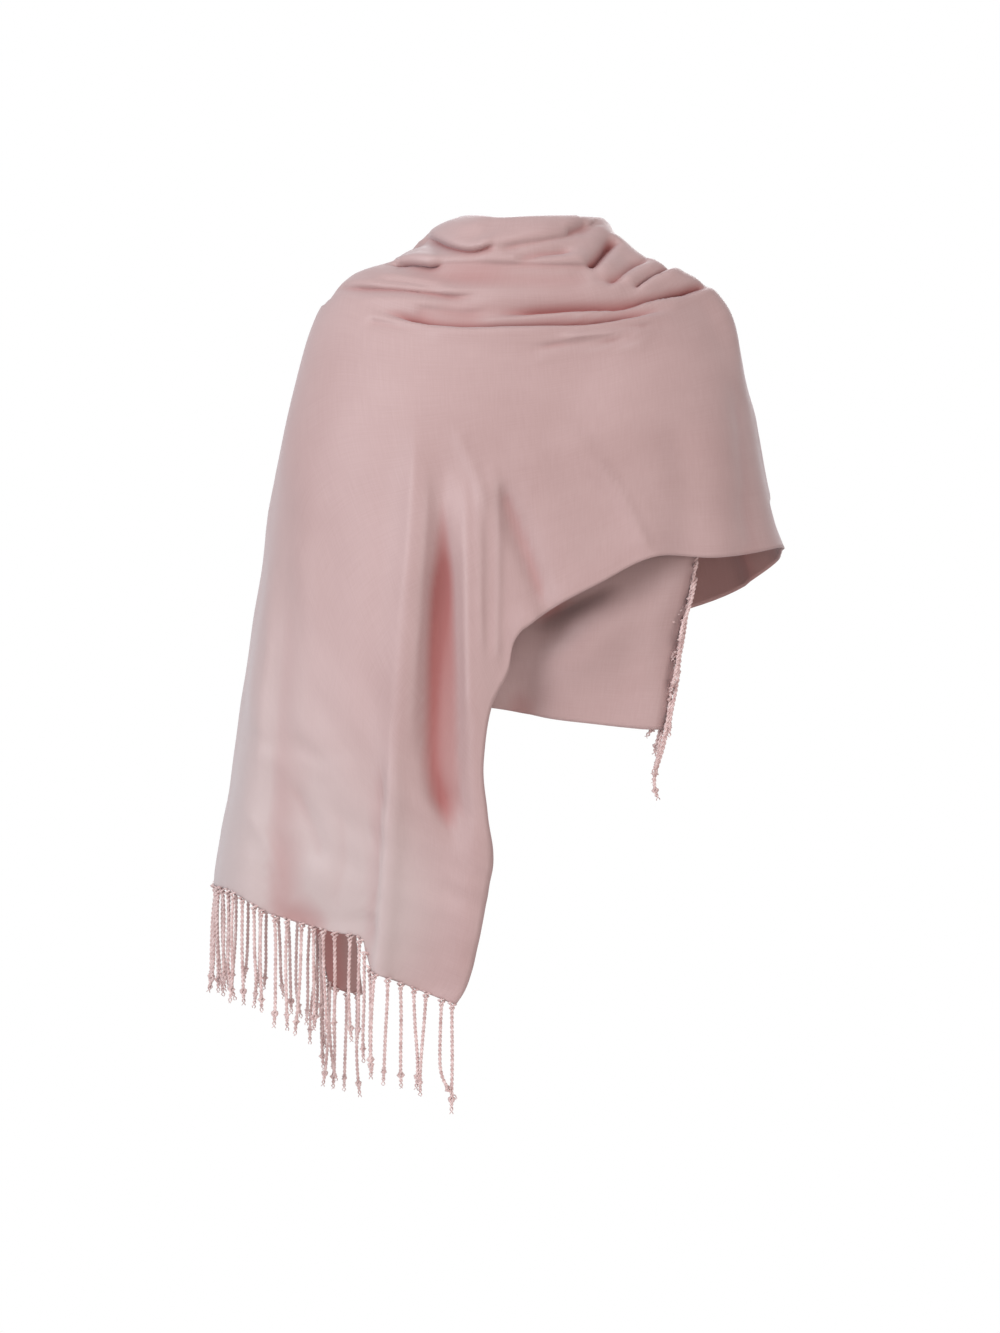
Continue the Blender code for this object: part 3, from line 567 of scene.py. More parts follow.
# DRAPES are the broad soft folds; their deep hollows get painted shade.
DRAPES = (
    # the long channels and banks of the hanging end
    Fold("channel_left", Span.HANG, View.FRONT, 9, -9, step=0.5,
         line=((-81, -200), (-84, -250), (-87, -308), (-91, -346), (-94, -389), (-96.5, -450), (-97, -505),
               (-91, -542), (-79, -575), (-64, -612))),
    Fold("channel_right", Span.HANG, View.FRONT, 9.5, -8.5,
         line=((-80, -250), (-78, -300), (-76, -350), (-74, -400), (-72, -450), (-70, -511), (-66, -556),
               (-57, -622))),
    Fold("channel_floor", Span.HANG, View.FRONT, 12, -9,
         line=((-84, -290), (-86, -340), (-86, -400), (-86, -460), (-85, -515), (-78, -555), (-64, -605))),
    Fold("channel_bank", Span.HANG, View.FRONT, 17, 8, ends=Ends.FIRST,
         line=((-108, -160), (-111, -210), (-115, -290), (-121, -360), (-128, -440), (-136, -530),
               (-142, -600), (-148, -670), (-153, -770))),
    Fold("edge_bank", Span.HANG, View.FRONT, 20, 8, ends=Ends.FIRST,
         line=((-46, -200), (-52, -300), (-52, -420), (-52, -520), (-50, -600), (-62, -700), (-72, -790))),
    # the front, down to its hem
    Fold("swag_trough", Span.OVER, View.FRONT, 11, -7.5, ends=Ends.FIRST,
         line=((-26, -226), (-20, -250), (-10, -275), (4, -310), (17, -350), (28, -376))),
    Fold("swag_bank", Span.OVER, View.FRONT, 20, 2.5, ends=Ends.FIRST,
         line=((-10, -160), (14, -240), (36, -300), (60, -350))),
    Fold("chest_hollow", Span.OVER, View.FRONT, 34, -3,
         line=((30, -130), (60, -190), (84, -260), (100, -320))),
    Fold("notch_ridge", Span.OVER, View.FRONT, 16, 3.6, ends=Ends.FIRST,
         line=((26, -168), (62, -206), (95, -236), (112, -268), (126, -304))),
    Fold("arm_hollow", Span.OVER, View.FRONT, 24, -4, ends=Ends.FIRST,
         line=((150, -150), (160, -220), (164, -280), (166, -330))),
    Fold("hem_lift", Span.OVER, View.FRONT, 16, 4,
         line=((-16, -400), (10, -366), (60, -340), (110, -316))),
    # the hanging end's outer side
    Fold("side_sway", Span.HANG, View.FRONT, 34, -4, ends=Ends.FIRST,
         line=((-196, -180), (-204, -320), (-216, -470), (-232, -620), (-240, -720))),
    Fold("side_swell", Span.HANG, View.FRONT, 24, 4, ends=Ends.FIRST,
         line=((-240, -200), (-262, -380), (-276, -520), (-288, -690))),
    # the stretch that lies under the front
    Fold("under_sag", Span.UNDER, View.FRONT, 28, 4,
         line=((104, -330), (60, -390), (10, -410), (-50, -380))),
    Fold("under_band", Span.UNDER, View.FRONT, 14, 5, ends=Ends.FIRST,
         line=((142, -270), (138, -330), (132, -369), (127, -420), (123, -470))),
    Fold("under_press", Span.UNDER, View.FRONT, 44, 14,
         line=((250, -230), (200, -280), (160, -320), (120, -350), (70, -380), (20, -404), (-30, -416))),
    Fold("under_dip", Span.UNDER, View.FRONT, 24, -8, ends=Ends.FIRST,
         line=((40, -260), (30, -350), (4, -430), (-10, -490))),
    Fold("under_crescent", Span.UNDER, View.FRONT, 9, -9,
         line=((0, -376), (16, -366), (34, -358), (52, -350), (70, -341), (92, -329))),
    # the hanging end round its fold, and its rear half
    Fold("hang_front", Span.HANG, View.ROUND, 26, -6, ends=Ends.FIRST,
         line=((-74, -180), (-72, -340), (-70, -520), (-68, -720))),
    Fold("hang_edge", Span.HANG, View.ROUND, 24, 6, ends=Ends.FIRST,
         line=((-90, -160), (-91, -340), (-92, -520), (-93, -720))),
    Fold("hang_back", Span.HANG, View.ROUND, 26, -5, ends=Ends.FIRST,
         line=((-108, -170), (-111, -340), (-114, -520), (-116, -760))),
    Fold("back_channel", Span.HANG, View.BACK, 22, -6, ends=Ends.FIRST,
         line=((-200, -250), (-208, -400), (-208, -560), (-200, -760))),
    Fold("back_bank", Span.HANG, View.BACK, 24, 8, ends=Ends.FIRST,
         line=((-164, -180), (-168, -360), (-170, -560), (-166, -790))),
    # the back
    Fold("back_sway_left", Span.WRAP, View.BACK, 28, -8, ends=Ends.FIRST,
         line=((150, -110), (128, -200), (116, -300), (108, -400))),
    Fold("back_swell", Span.WRAP, View.BACK, 30, 6, ends=Ends.FIRST,
         line=((80, -130), (70, -230), (64, -320), (62, -410))),
    Fold("back_sway_mid", Span.WRAP, View.BACK, 26, -6, ends=Ends.FIRST,
         line=((16, -150), (18, -240), (14, -330), (10, -430))),
    Fold("back_sway_right", Span.WRAP, View.BACK, 26, -7, ends=Ends.FIRST,
         line=((-76, -140), (-66, -230), (-58, -330), (-56, -440))),
    # round the arm on +X
    Fold("arm_sway_front", Span.OVER, View.ROUND, 22, -5, ends=Ends.FIRST,
         line=((74, -110), (72, -180), (70, -250), (70, -330))),
    Fold("arm_swell", Span.OVER, View.ROUND, 24, 5, ends=Ends.FIRST,
         line=((90, -110), (92, -180), (93, -250), (94, -330))),
    Fold("arm_sway_back", Span.OVER, View.ROUND, 24, -7, ends=Ends.FIRST,
         line=((108, -100), (112, -180), (114, -260), (115, -340))),
    # the broad rolls of the collar
    Fold("collar_roll", Span.OVER, View.FRONT, 13, 0, step=4,
         line=((-122, 34), (-96, 33), (-66, 25), (-34, 24))),
    Fold("cowl_roll", Span.OVER, View.FRONT, 13, -2, step=4,
         line=((-100, 22), (-80, 9), (-50, 3), (-13, 12), (30, 20), (66, 36))),
    Fold("cowl_band", Span.OVER, View.FRONT, 13, -2, step=4.5,
         line=((-140, 6), (-97, -7), (-30, -11), (41, -11), (82, -4))),
    Fold("yoke_base", Span.OVER, View.FRONT, 14, -3, step=4,
         line=((160, -38), (100, -53), (40, -60), (-20, -64), (-80, -62), (-140, -52))),
)

# CREASES are the fine folds on top of them, with painted shade in their hollows and painted highlight on
# their crests.
CREASES = (
    # pleats of the hanging end and beside the swag
    Fold("bank_pleat", Span.HANG, View.FRONT, 6, 2.4,
         line=((-99, -190), (-102, -270), (-108, -360), (-116, -450), (-122, -520))),
    Fold("bank_line", Span.HANG, View.FRONT, 6, 2.2,
         line=((-111, -160), (-113, -230), (-120, -340), (-127, -436), (-135, -520), (-141, -600))),
    Fold("pleat_left", Span.HANG, View.FRONT, 6, 2.4,
         line=((-60, -210), (-60, -280), (-59, -350), (-58, -430), (-57, -480))),
    Fold("pleat_mid", Span.HANG, View.FRONT, 5, 2.2,
         line=((-48, -215), (-47, -290), (-46, -360), (-45, -420))),
    Fold("pleat_right", Span.OVER, View.FRONT, 6, 2.8,
         line=((-33, -205), (-30, -250), (-29, -320), (-30, -390), (-32, -420))),
    Fold("pleat_slant", Span.OVER, View.FRONT, 6, 2.2,
         line=((-74, -180), (-66, -192), (-54, -216), (-44, -245), (-38, -280))),
    Fold("trough_line", Span.OVER, View.FRONT, 6, -1.2, step=0.8, lap=0.8,
         line=((-23, -226), (-18, -250), (-10, -274), (2, -304), (12, -336))),
    # the rolls of the cowl
    Fold("cowl_lip", Span.OVER, View.FRONT, 6, -3, step=2, lap=2,
         line=((38, 30), (48, 35), (56, 40), (62, 43.5))),
    Fold("cowl_upper", Span.OVER, View.FRONT, 5.5, -6.5, step=4, lap=4,
         line=((-110, 40), (-95, 28), (-81, 18), (-67, 12), (-53, 10), (-40, 12), (-28, 16))),
    Fold("cowl_rise", Span.OVER, View.FRONT, 5.5, -3, step=1.8, lap=1.6,
         line=((-44, 6), (-13, 13), (14, 18), (41, 24), (58, 33), (72, 44))),
    Fold("cowl_crest", Span.OVER, View.FRONT, 5, 2,
         line=((-34, 0), (7, 8), (35, 16), (58, 25), (74, 34))),
    Fold("cowl_soft", Span.OVER, View.FRONT, 5.5, -5, step=1.4, lap=1,
         line=((-14, 0), (8, 4), (28, 7), (54, 10))),
    Fold("cowl_lower", Span.OVER, View.FRONT, 5.5, -2.4, step=1.7, lap=1.5,
         line=((-120, 2), (-97, -2.5), (-60, -4.5), (-26, -6.5), (8, -7), (41, -7), (66, -6), (84, 1))),
    Fold("cowl_tuck", Span.OVER, View.FRONT, 5.5, -6.5, step=5, lap=5,
         line=((-139, -4), (-131, 0), (-121, 0.5), (-110, -1.5), (-98, -4), (-84, -5))),
    # the collar's end at the shoulder on +X
    Fold("lobe_dark", Span.OVER, View.FRONT, 6.5, -13, step=2, lap=2,
         line=((96, 27), (88, 17), (80, 6), (72, -3), (62, -10))),
    Fold("lobe_stripe", Span.OVER, View.FRONT, 6, -5.2, step=2, lap=2,
         line=((134, 8), (120, 0), (110, -6), (101, -14), (92, -22), (80, -29))),
    Fold("shoulder_pleat", Span.OVER, View.FRONT, 5.5, -8, step=4.5, lap=4.5,
         line=((158, -1), (143, -10), (132, -16), (122, -23), (108, -32))),
    Fold("shoulder_roll", Span.OVER, View.FRONT, 5, 3,
         line=((138, -3), (124, -9), (112, -18), (100, -28))),
    Fold("shoulder_hollow", Span.OVER, View.FRONT, 8, -2.4,
         line=((66, -17), (82, -21), (98, -25), (114, -30))),
    # the deep folds under the cowl
    Fold("yoke_end", Span.OVER, View.FRONT, 6, -8, step=2, lap=2,
         line=((192, -20), (176, -28), (160, -35), (138, -41))),
    Fold("yoke_upper", Span.OVER, View.FRONT, 5.5, -8, step=3.2, lap=3.2,
         line=((190, -22), (162, -33), (146, -37), (122, -43), (109, -47), (92, -51), (68, -52.5),
               (41, -54), (14, -56), (-13, -58), (-46, -59))),
    Fold("yoke_crest", Span.OVER, View.FRONT, 4.5, 4.2,
         line=((114, -54), (75, -58.5), (41, -60.5), (8, -62.5), (-26, -64), (-64, -65))),
    Fold("yoke_lower", Span.OVER, View.FRONT, 6.5, -13, step=2.5, lap=3,
         line=((156, -48), (126, -55), (92, -62), (60, -66), (30, -67.5), (8, -68.5), (-20, -69.5),
               (-60, -70), (-87, -68.5), (-110, -64), (-134, -58), (-162, -50))),
    # wrinkles over the shoulder on -X
    Fold("wrinkle_upper", Span.OVER, View.FRONT, 5, -2.8, step=1.6, lap=1.2,
         line=((-158, -16), (-128, -21), (-104, -25), (-78, -32))),
    Fold("wrinkle_long", Span.OVER, View.FRONT, 5.5, -4.2, step=2.8, lap=2.8,
         line=((-208, -20), (-180, -24), (-148, -28), (-128, -30), (-107, -33), (-87, -36.5), (-67, -39),
               (-30, -37))),
    Fold("wrinkle_crest", Span.OVER, View.FRONT, 4.5, 1.4,
         line=((-180, -39), (-148, -41), (-128, -42.5), (-107, -46), (-76, -51))),
    Fold("wrinkle_mid", Span.OVER, View.FRONT, 4.5, -1.8, step=1.4, lap=1.2,
         line=((-114, -49), (-100, -51), (-80, -54), (-60, -56), (-30, -54))),
    Fold("wrinkle_low", Span.OVER, View.FRONT, 5, -1.5, step=1.8, lap=1.4,
         line=((-166, -62), (-151, -64), (-131, -69), (-110, -73), (-84, -76))),
    # the chest
    Fold("chest_upper", Span.OVER, View.FRONT, 5, -3, step=1.2, lap=1,
         line=((10, -80), (58, -76), (80, -74), (109, -71), (152, -66))),
    Fold("chest_line", Span.OVER, View.FRONT, 5.5, -4, step=1.5, lap=1,
         line=((-2, -98), (30, -92), (55, -89), (80, -86), (124, -79))),
    Fold("chest_crest", Span.OVER, View.FRONT, 5, 4,
         line=((30, -86), (58, -82.5), (92, -80), (146, -77))),
    Fold("chest_low_crest", Span.OVER, View.FRONT, 5.5, 4,
         line=((0, -110), (21, -101), (41, -97), (75, -94.5), (109, -91), (130, -86))),
    Fold("notch_line", Span.OVER, View.FRONT, 5.5, 1.6, step=-1.2,
         line=((54, -208), (76, -216), (94, -238), (108, -264), (120, -290), (126, -306))),
    # the lower part of the hanging end
    Fold("hem_pleat", Span.HANG, View.FRONT, 9, 0, step=3.4, lap=2, ends=Ends.FIRST,
         line=((-138, -480), (-142, -560), (-147, -640), (-155, -715), (-160, -760))),
    Fold("low_wave", Span.HANG, View.FRONT, 9, -1.5,
         line=((-308, -490), (-284, -487), (-262, -497), (-236, -494), (-214, -507), (-186, -503),
               (-160, -497))),
    Fold("low_crest", Span.HANG, View.FRONT, 9, 1,
         line=((-290, -512), (-266, -505), (-244, -517), (-222, -514), (-196, -530))),
    Fold("low_dip", Span.HANG, View.FRONT, 10, -2.2,
         line=((-240, -530), (-228, -556), (-214, -590), (-208, -622))),
    Fold("low_dip_two", Span.HANG, View.FRONT, 9, -2,
         line=((-190, -545), (-184, -590), (-190, -640), (-200, -676))),
    Fold("low_swell", Span.HANG, View.FRONT, 9, 2,
         line=((-290, -560), (-268, -590), (-252, -630), (-250, -668))),
    Fold("edge_line", Span.HANG, View.FRONT, 6, 1.8,
         line=((-262, -360), (-266, -420), (-270, -480), (-276, -540))),
    # the nape and the top of the back
    Fold("nape_upper", Span.WRAP, View.ROUND, 7, -3, step=5, lap=5,
         line=((131, 20), (144, 18), (164, 15), (186, 14), (212, 24))),
    Fold("nape_lower", Span.WRAP, View.ROUND, 7, -3, step=5, lap=5,
         line=((104, -6), (124, -12), (150, -18), (182, -20), (214, -10))),
    Fold("back_yoke_upper", Span.WRAP, View.ROUND, 8, -2.4, step=3.5, lap=3.5,
         line=((104, -36), (128, -48), (156, -60), (186, -58), (208, -48))),
    Fold("back_yoke_lower", Span.WRAP, View.ROUND, 8, -2, step=3, lap=3,
         line=((120, -72), (142, -88), (168, -98), (192, -92))),
)


@dataclass(frozen=True)
class Creaser:
    """Presses folds into a grid of cloth points."""

    winding: Winding
    stations: np.ndarray
    ring_radius: float = 150.0
    pieces: int = 40
    reach: float = 3.4
    fade_share: float = 0.22
    softened_over: int = 5
    hidden_gap: float = 1e6

    def press(self, points: np.ndarray, folds: tuple[Fold, ...]) -> np.ndarray:
        """Presses a table of folds into the cloth at once.

        Args:
            points: the grid of cloth points.
            folds: the table.

        Returns:
            The moved grid.
        """
        normals = grid_normals(points)
        shift = np.zeros_like(points)
        for fold in folds:
            LOG.debug("pressing %s", fold.name)
            first, last = (self.winding.station(name) for name in fold.span.value)
            rows = np.where((self.stations >= first) & (self.stations <= last))[0]
            shift[rows] += self._one(points[rows], normals[rows], fold)
        return points + shift

    def _one(self, points: np.ndarray, normals: np.ndarray, fold: Fold) -> np.ndarray:
        """How one fold moves the part of the grid that it lies in.

        Args:
            points: that part of the grid.
            normals: the cloth's normals there.
            fold: the fold.

        Returns:
            How far each point moves, in metres.
        """
        line, outward = self._line_on_cloth(points, normals, fold)
        width = fold.width * MM
        starts, runs = line[:-1], np.diff(line, axis=0)
        sides = unit(np.cross(outward[:-1] + outward[1:], runs))
        flat = points.reshape(-1, 3)
        low, high = line.min(axis=0) - self.reach * width, line.max(axis=0) + self.reach * width
        near = np.where(((flat > low) & (flat < high)).all(axis=1))[0]
        moved = np.zeros_like(flat)
        away = flat[near][:, None, :] - starts
        share = np.clip((away * runs).sum(axis=2) / np.maximum((runs * runs).sum(axis=1), TINY), 0, 1)
        miss = away - share[..., None] * runs
        gaps = np.linalg.norm(miss, axis=2)
        nearest = gaps.argmin(axis=1)
        pick = np.arange(len(near))
        miss = miss[pick, nearest]
        side = sides[nearest]
        off = (miss * side).sum(axis=1) / width
        gap = gaps[pick, nearest] / width
        place = (nearest + share[pick, nearest]) / len(runs)
        strength = smoothstep(place / self.fade_share)
        if fold.ends is Ends.BOTH:
            strength = strength * smoothstep((1 - place) / self.fade_share)
        # bell is 1 on the line, and odd is 1 and -1 at one width to either side of it
        bell = np.exp(-(gap**2))
        odd = np.sign(off) * gap * np.exp(0.5 * (1 - gap**2))
        normal = normals.reshape(-1, 3)[near]
        side = side - normal * (side * normal).sum(axis=1, keepdims=True)
        out = (fold.rise * bell + fold.step * odd) * strength * MM
        drawn = -fold.lap * odd * strength * MM
        moved[near] = normal * out[:, None] + side * drawn[:, None]
        return moved.reshape(points.shape)

    def _line_on_cloth(
        self, points: np.ndarray, normals: np.ndarray, fold: Fold
    ) -> tuple[np.ndarray, np.ndarray]:
        """A fold's line laid on the cloth.

        Args:
            points: the part of the grid that the fold lies in.
            normals: the cloth's normals there.
            fold: the fold.

        Returns:
            The line's points, and the cloth's normals at them.
        """
        table = np.array(fold.line, float)
        knots = np.arange(len(table))
        at = np.linspace(0, len(table) - 1, self.pieces)
        across, up = smooth_path(knots, table[:, 0], at), smooth_path(knots, table[:, 1], at)
        flat, facing = points.reshape(-1, 3) / MM, normals.reshape(-1, 3)
        if fold.view is View.ROUND:
            turns = np.degrees(np.arctan2(flat[:, 0], -flat[:, 1]))
            gap_across = np.radians((turns[None, :] - across[:, None] + 180) % 360 - 180) * self.ring_radius
        else:
            sign = -1 if fold.view is View.FRONT else 1
            hidden = np.where(facing[:, 1] * sign > 0, 0.0, self.hidden_gap)
            gap_across = flat[None, :, 0] - across[:, None] + hidden[None, :]
        gaps = gap_across**2 + (flat[None, :, 2] - up[:, None]) ** 2
        nearest = gaps.argmin(axis=1)
        line = flat[nearest] * MM
        if fold.view is not View.ROUND:
            line[:, 0], line[:, 2] = across * MM, up * MM
        window = np.ones(self.softened_over) / self.softened_over
        spare = self.softened_over // 2
        padded = np.pad(line, ((spare, spare), (0, 0)), mode="edge")
        line[:, 1] = np.convolve(padded[:, 1], window, mode="valid")
        return line, facing[nearest]


# ---- finishes ---------------------------------------------------------------------------------------


class NodeGraph:
    """Short calls for a node tree. A value that goes into a socket is a socket, a number or a colour."""

    def __init__(self, tree: bpy.types.NodeTree) -> None:
        """Keeps the tree."""
        self.tree = tree

    def fill(self, node: bpy.types.Node, inputs: dict[str | int, object]) -> None:
        """Links or sets a node's input sockets.

        Args:
            node: the node.
            inputs: the value for each socket, by its name or number.
        """
        for key, value in inputs.items():
            socket = node.inputs[key]
            if isinstance(value, Socket):
                self.tree.links.new(value, socket)
            elif socket.type == "RGBA":
                socket.default_value = (*value, 1)
            else:
                socket.default_value = value

    def node(
        self, kind: str, inputs: dict[str | int, object] | None = None, **settings: object
    ) -> bpy.types.Node:
        """Adds a node.

        Args:
            kind: its type.
            inputs: the value for each of its sockets that is filled.
            settings: its own settings.

        Returns:
            The node.
        """
        made = self.tree.nodes.new(kind)
        for name, value in settings.items():
            setattr(made, name, value)
        self.fill(made, inputs or {})
        return made

    def group(self, effect: "Effect", inputs: dict[str, object]) -> bpy.types.NodeOutputs:
        """The outputs of a shared effect, placed with this material's own values."""
        return self.node("ShaderNodeGroup", inputs, node_tree=effect.tree).outputs

    def cloth_place(self) -> tuple[Socket, bpy.types.NodeOutputs]:
        """The place on the flat cloth, in metres: the whole, and its X along and Y across."""
        whole = self.node("ShaderNodeUVMap", uv_map=StoleCloth.uv_name).outputs[0]
        return whole, self.node("ShaderNodeSeparateXYZ", {0: whole}).outputs

    def math(self, operation: str, first: object, second: object = 0.0) -> Socket:
        """The result of a Math node."""
        return self.node("ShaderNodeMath", {0: first, 1: second}, operation=operation).outputs[0]

    def noise(self, place: Socket, scale: object, detail: float) -> Socket:
        """A soft pattern from 0 to 1."""
        inputs = {"Vector": place, "Scale": scale, "Detail": detail}
        return self.node("ShaderNodeTexNoise", inputs, noise_dimensions="3D").outputs["Fac"]

    def shades(self, value: Socket, places: tuple[float, float], colours: tuple[Colour, Colour]) -> Socket:
        """A colour between two.

        Args:
            value: what sets it.
            places: the values at which it is wholly one and wholly the other.
            colours: the two colours.

        Returns:
            The colour.
        """
        made = self.node("ShaderNodeValToRGB", {"Fac": value})
        for element, place, colour in zip(made.color_ramp.elements, places, colours):
            element.position = place
            element.color = (*colour, 1)
        return made.outputs["Color"]

    def change(self, value: Socket, places: tuple[float, float], ends: tuple[object, object]) -> Socket:
        """A smooth change from one number to another.

        Args:
            value: what sets it.
            places: the values at which it starts and ends.
            ends: the two numbers.

        Returns:
            The number.
        """
        (low, high), (first, last) = places, ends
        inputs = {"Value": value, "From Min": low, "From Max": high, "To Min": first, "To Max": last}
        return self.node("ShaderNodeMapRange", inputs, interpolation_type="SMOOTHSTEP").outputs["Result"]

    def tinted(self, colour: Socket, tint: object, share: Socket) -> Socket:
        """A colour drawn towards a tint by a share, which is held between 0 and 1."""
        inputs = {"Factor": share, "A": colour, "B": tint}
        return self.node("ShaderNodeMix", inputs, data_type="RGBA", clamp_factor=True).outputs["Result"]

    def bump(self, height: Socket, strength: float, depth: float) -> Socket:
        """The normal of a fine relief, whose depth is in metres."""
        inputs = {"Height": height, "Strength": strength, "Distance": depth}
        return self.node("ShaderNodeBump", inputs).outputs["Normal"]


def new_material(name: str) -> tuple[bpy.types.Material, NodeGraph, bpy.types.Node]:
    """Starts a material.

    Args:
        name: its name.

    Returns:
        The material, its graph and its shader.
    """
    made = bpy.data.materials.new(name)
    made.use_nodes = True
    return made, NodeGraph(made.node_tree), made.node_tree.nodes["Principled BSDF"]


class Effect:
    """A shader node group that more than one material uses, with named inputs and outputs."""

    number: ClassVar[str] = "NodeSocketFloat"
    colour: ClassVar[str] = "NodeSocketColor"
    name: ClassVar[str]
    inputs: ClassVar[dict[str, str]]
    outputs: ClassVar[dict[str, str]]

    def __init__(self) -> None:
        """Builds the group once."""
        self.tree = bpy.data.node_groups.new(self.name, "ShaderNodeTree")
        for in_out, sockets in (("INPUT", self.inputs), ("OUTPUT", self.outputs)):
            for label, kind in sockets.items():
                self.tree.interface.new_socket(label, in_out=in_out, socket_type=kind)
        graph = NodeGraph(self.tree)
        given = graph.node("NodeGroupInput").outputs
        graph.node("NodeGroupOutput", self._effect(graph, given))

    def _effect(self, graph: NodeGraph, given: bpy.types.NodeOutputs) -> dict[str, Socket]:
        """What each output puts out, worked out from what the inputs are given."""
        raise NotImplementedError


class Weave(Effect):
    """The cloth's weave: the height of its fine twill, its uneven threads, and soft clouds of shade."""

    name = "fine_twill"
    inputs = {"Threads per metre": Effect.number, "Slub scale": Effect.number, "Cloud scale": Effect.number}
    outputs = {"Height": Effect.number, "Threads": Effect.number, "Clouds": Effect.number}
    slub_stretch: ClassVar[float] = 26.0
    slub_detail: ClassVar[float] = 2.0
    cloud_detail: ClassVar[float] = 3.0
    twill_slant: ClassVar[float] = 1.6
    twill_height: ClassVar[float] = 0.35

    def _effect(self, graph: NodeGraph, given: bpy.types.NodeOutputs) -> dict[str, Socket]:
        """The weave.

        Args:
            graph: the group's graph.
            given: what the inputs are given.

        Returns:
            What the outputs put out.
        """
        place, parts = graph.cloth_place()
        twill = self._twill(graph, given["Threads per metre"], parts)
        warp, weft = (
            self._threads(graph, place, given["Slub scale"], stretch)
            for stretch in ((1.0, self.slub_stretch, 1.0), (self.slub_stretch, 1.0, 1.0))
        )
        threads = graph.math("MULTIPLY", graph.math("ADD", warp, weft), 0.5)
        clouds = graph.noise(place, given["Cloud scale"], self.cloud_detail)
        height = graph.math("ADD", graph.math("MULTIPLY", twill, self.twill_height), threads)
        return {"Height": height, "Threads": threads, "Clouds": clouds}

    def _twill(self, graph: NodeGraph, pitch: Socket, parts: bpy.types.NodeOutputs) -> Socket:
        """Fine diagonal ribs.

        Args:
            graph: the group's graph.
            pitch: ribs a metre.
            parts: the place along and across the cloth.

        Returns:
            Their height, from 0 to 1.
        """
        diagonal = graph.math("ADD", parts[0], graph.math("MULTIPLY", parts[1], self.twill_slant))
        phase = graph.math("MULTIPLY", graph.math("MULTIPLY", diagonal, pitch), 2 * math.pi)
        return graph.math("ADD", graph.math("MULTIPLY", graph.math("SINE", phase), 0.5), 0.5)

    def _threads(self, graph: NodeGraph, place: Socket, scale: Socket, stretch: Place) -> Socket:
        """Uneven threads that run one way along the cloth, from 0 to 1."""
        mapped = graph.node("ShaderNodeMapping", {"Vector": place, "Scale": stretch}).outputs[0]
        return graph.noise(mapped, scale, self.slub_detail)


class FoldPaintedLight(Effect):
    """Painted light on the cloth: a paler painted sheen towards the hanging end, painted highlight on crests,
    and painted shade in hollows, which are also duller.
    """

    name = "fold_painted_light"
    inputs = {
        "Colour": Effect.colour, "Depth": Effect.number,
        "Painted sheen tint": Effect.colour, "Painted sheen share": Effect.number,
        "Painted highlight tint": Effect.colour, "Painted highlight gain": Effect.number,
        "Painted shade tint": Effect.colour, "Painted shade gain": Effect.number, "Dulling": Effect.number,
    }
    outputs = {"Colour": Effect.colour, "Dulling": Effect.number}
    sheen_along: ClassVar[tuple[float, float]] = (1.26, 1.80)
    sheen_across: ClassVar[tuple[float, float]] = (0.58, 0.68)

    def _effect(self, graph: NodeGraph, given: bpy.types.NodeOutputs) -> dict[str, Socket]:
        """The tones.

        Args:
            graph: the group's graph.
            given: what the inputs are given.

        Returns:
            What the outputs put out.
        """
        _, parts = graph.cloth_place()
        # painted sheen: the colour is drawn towards a paler tint along the hanging end, fading out near its
        # hem-side edge
        share = graph.change(parts[0], self.sheen_along, (0.0, given["Painted sheen share"]))
        inside = graph.change(parts[1], self.sheen_across, (1.0, 0.0))
        sheen_painted = graph.tinted(given["Colour"], given["Painted sheen tint"], graph.math("MULTIPLY", share, inside))
        # painted highlight: where the depth is below 0, on the ridges of folds, the colour is drawn towards a
        # paler tint
        highlight_share = graph.math("MULTIPLY", graph.math("MULTIPLY", given["Depth"], given["Painted highlight gain"]), -1.0)
        highlight_painted = graph.tinted(sheen_painted, given["Painted highlight tint"], highlight_share)
        # painted shade: deep in the folds the colour is drawn towards a deeper red-brown tint, and the cloth
        # is made rougher there
        shade_share = graph.math("MAXIMUM", graph.math("MULTIPLY", given["Depth"], given["Painted shade gain"]), 0.0)
        light_painted = graph.tinted(highlight_painted, given["Painted shade tint"], shade_share)
        dulled = graph.math("MULTIPLY", graph.math("MINIMUM", shade_share, 1.0), given["Dulling"])
        return {"Colour": light_painted, "Dulling": dulled}


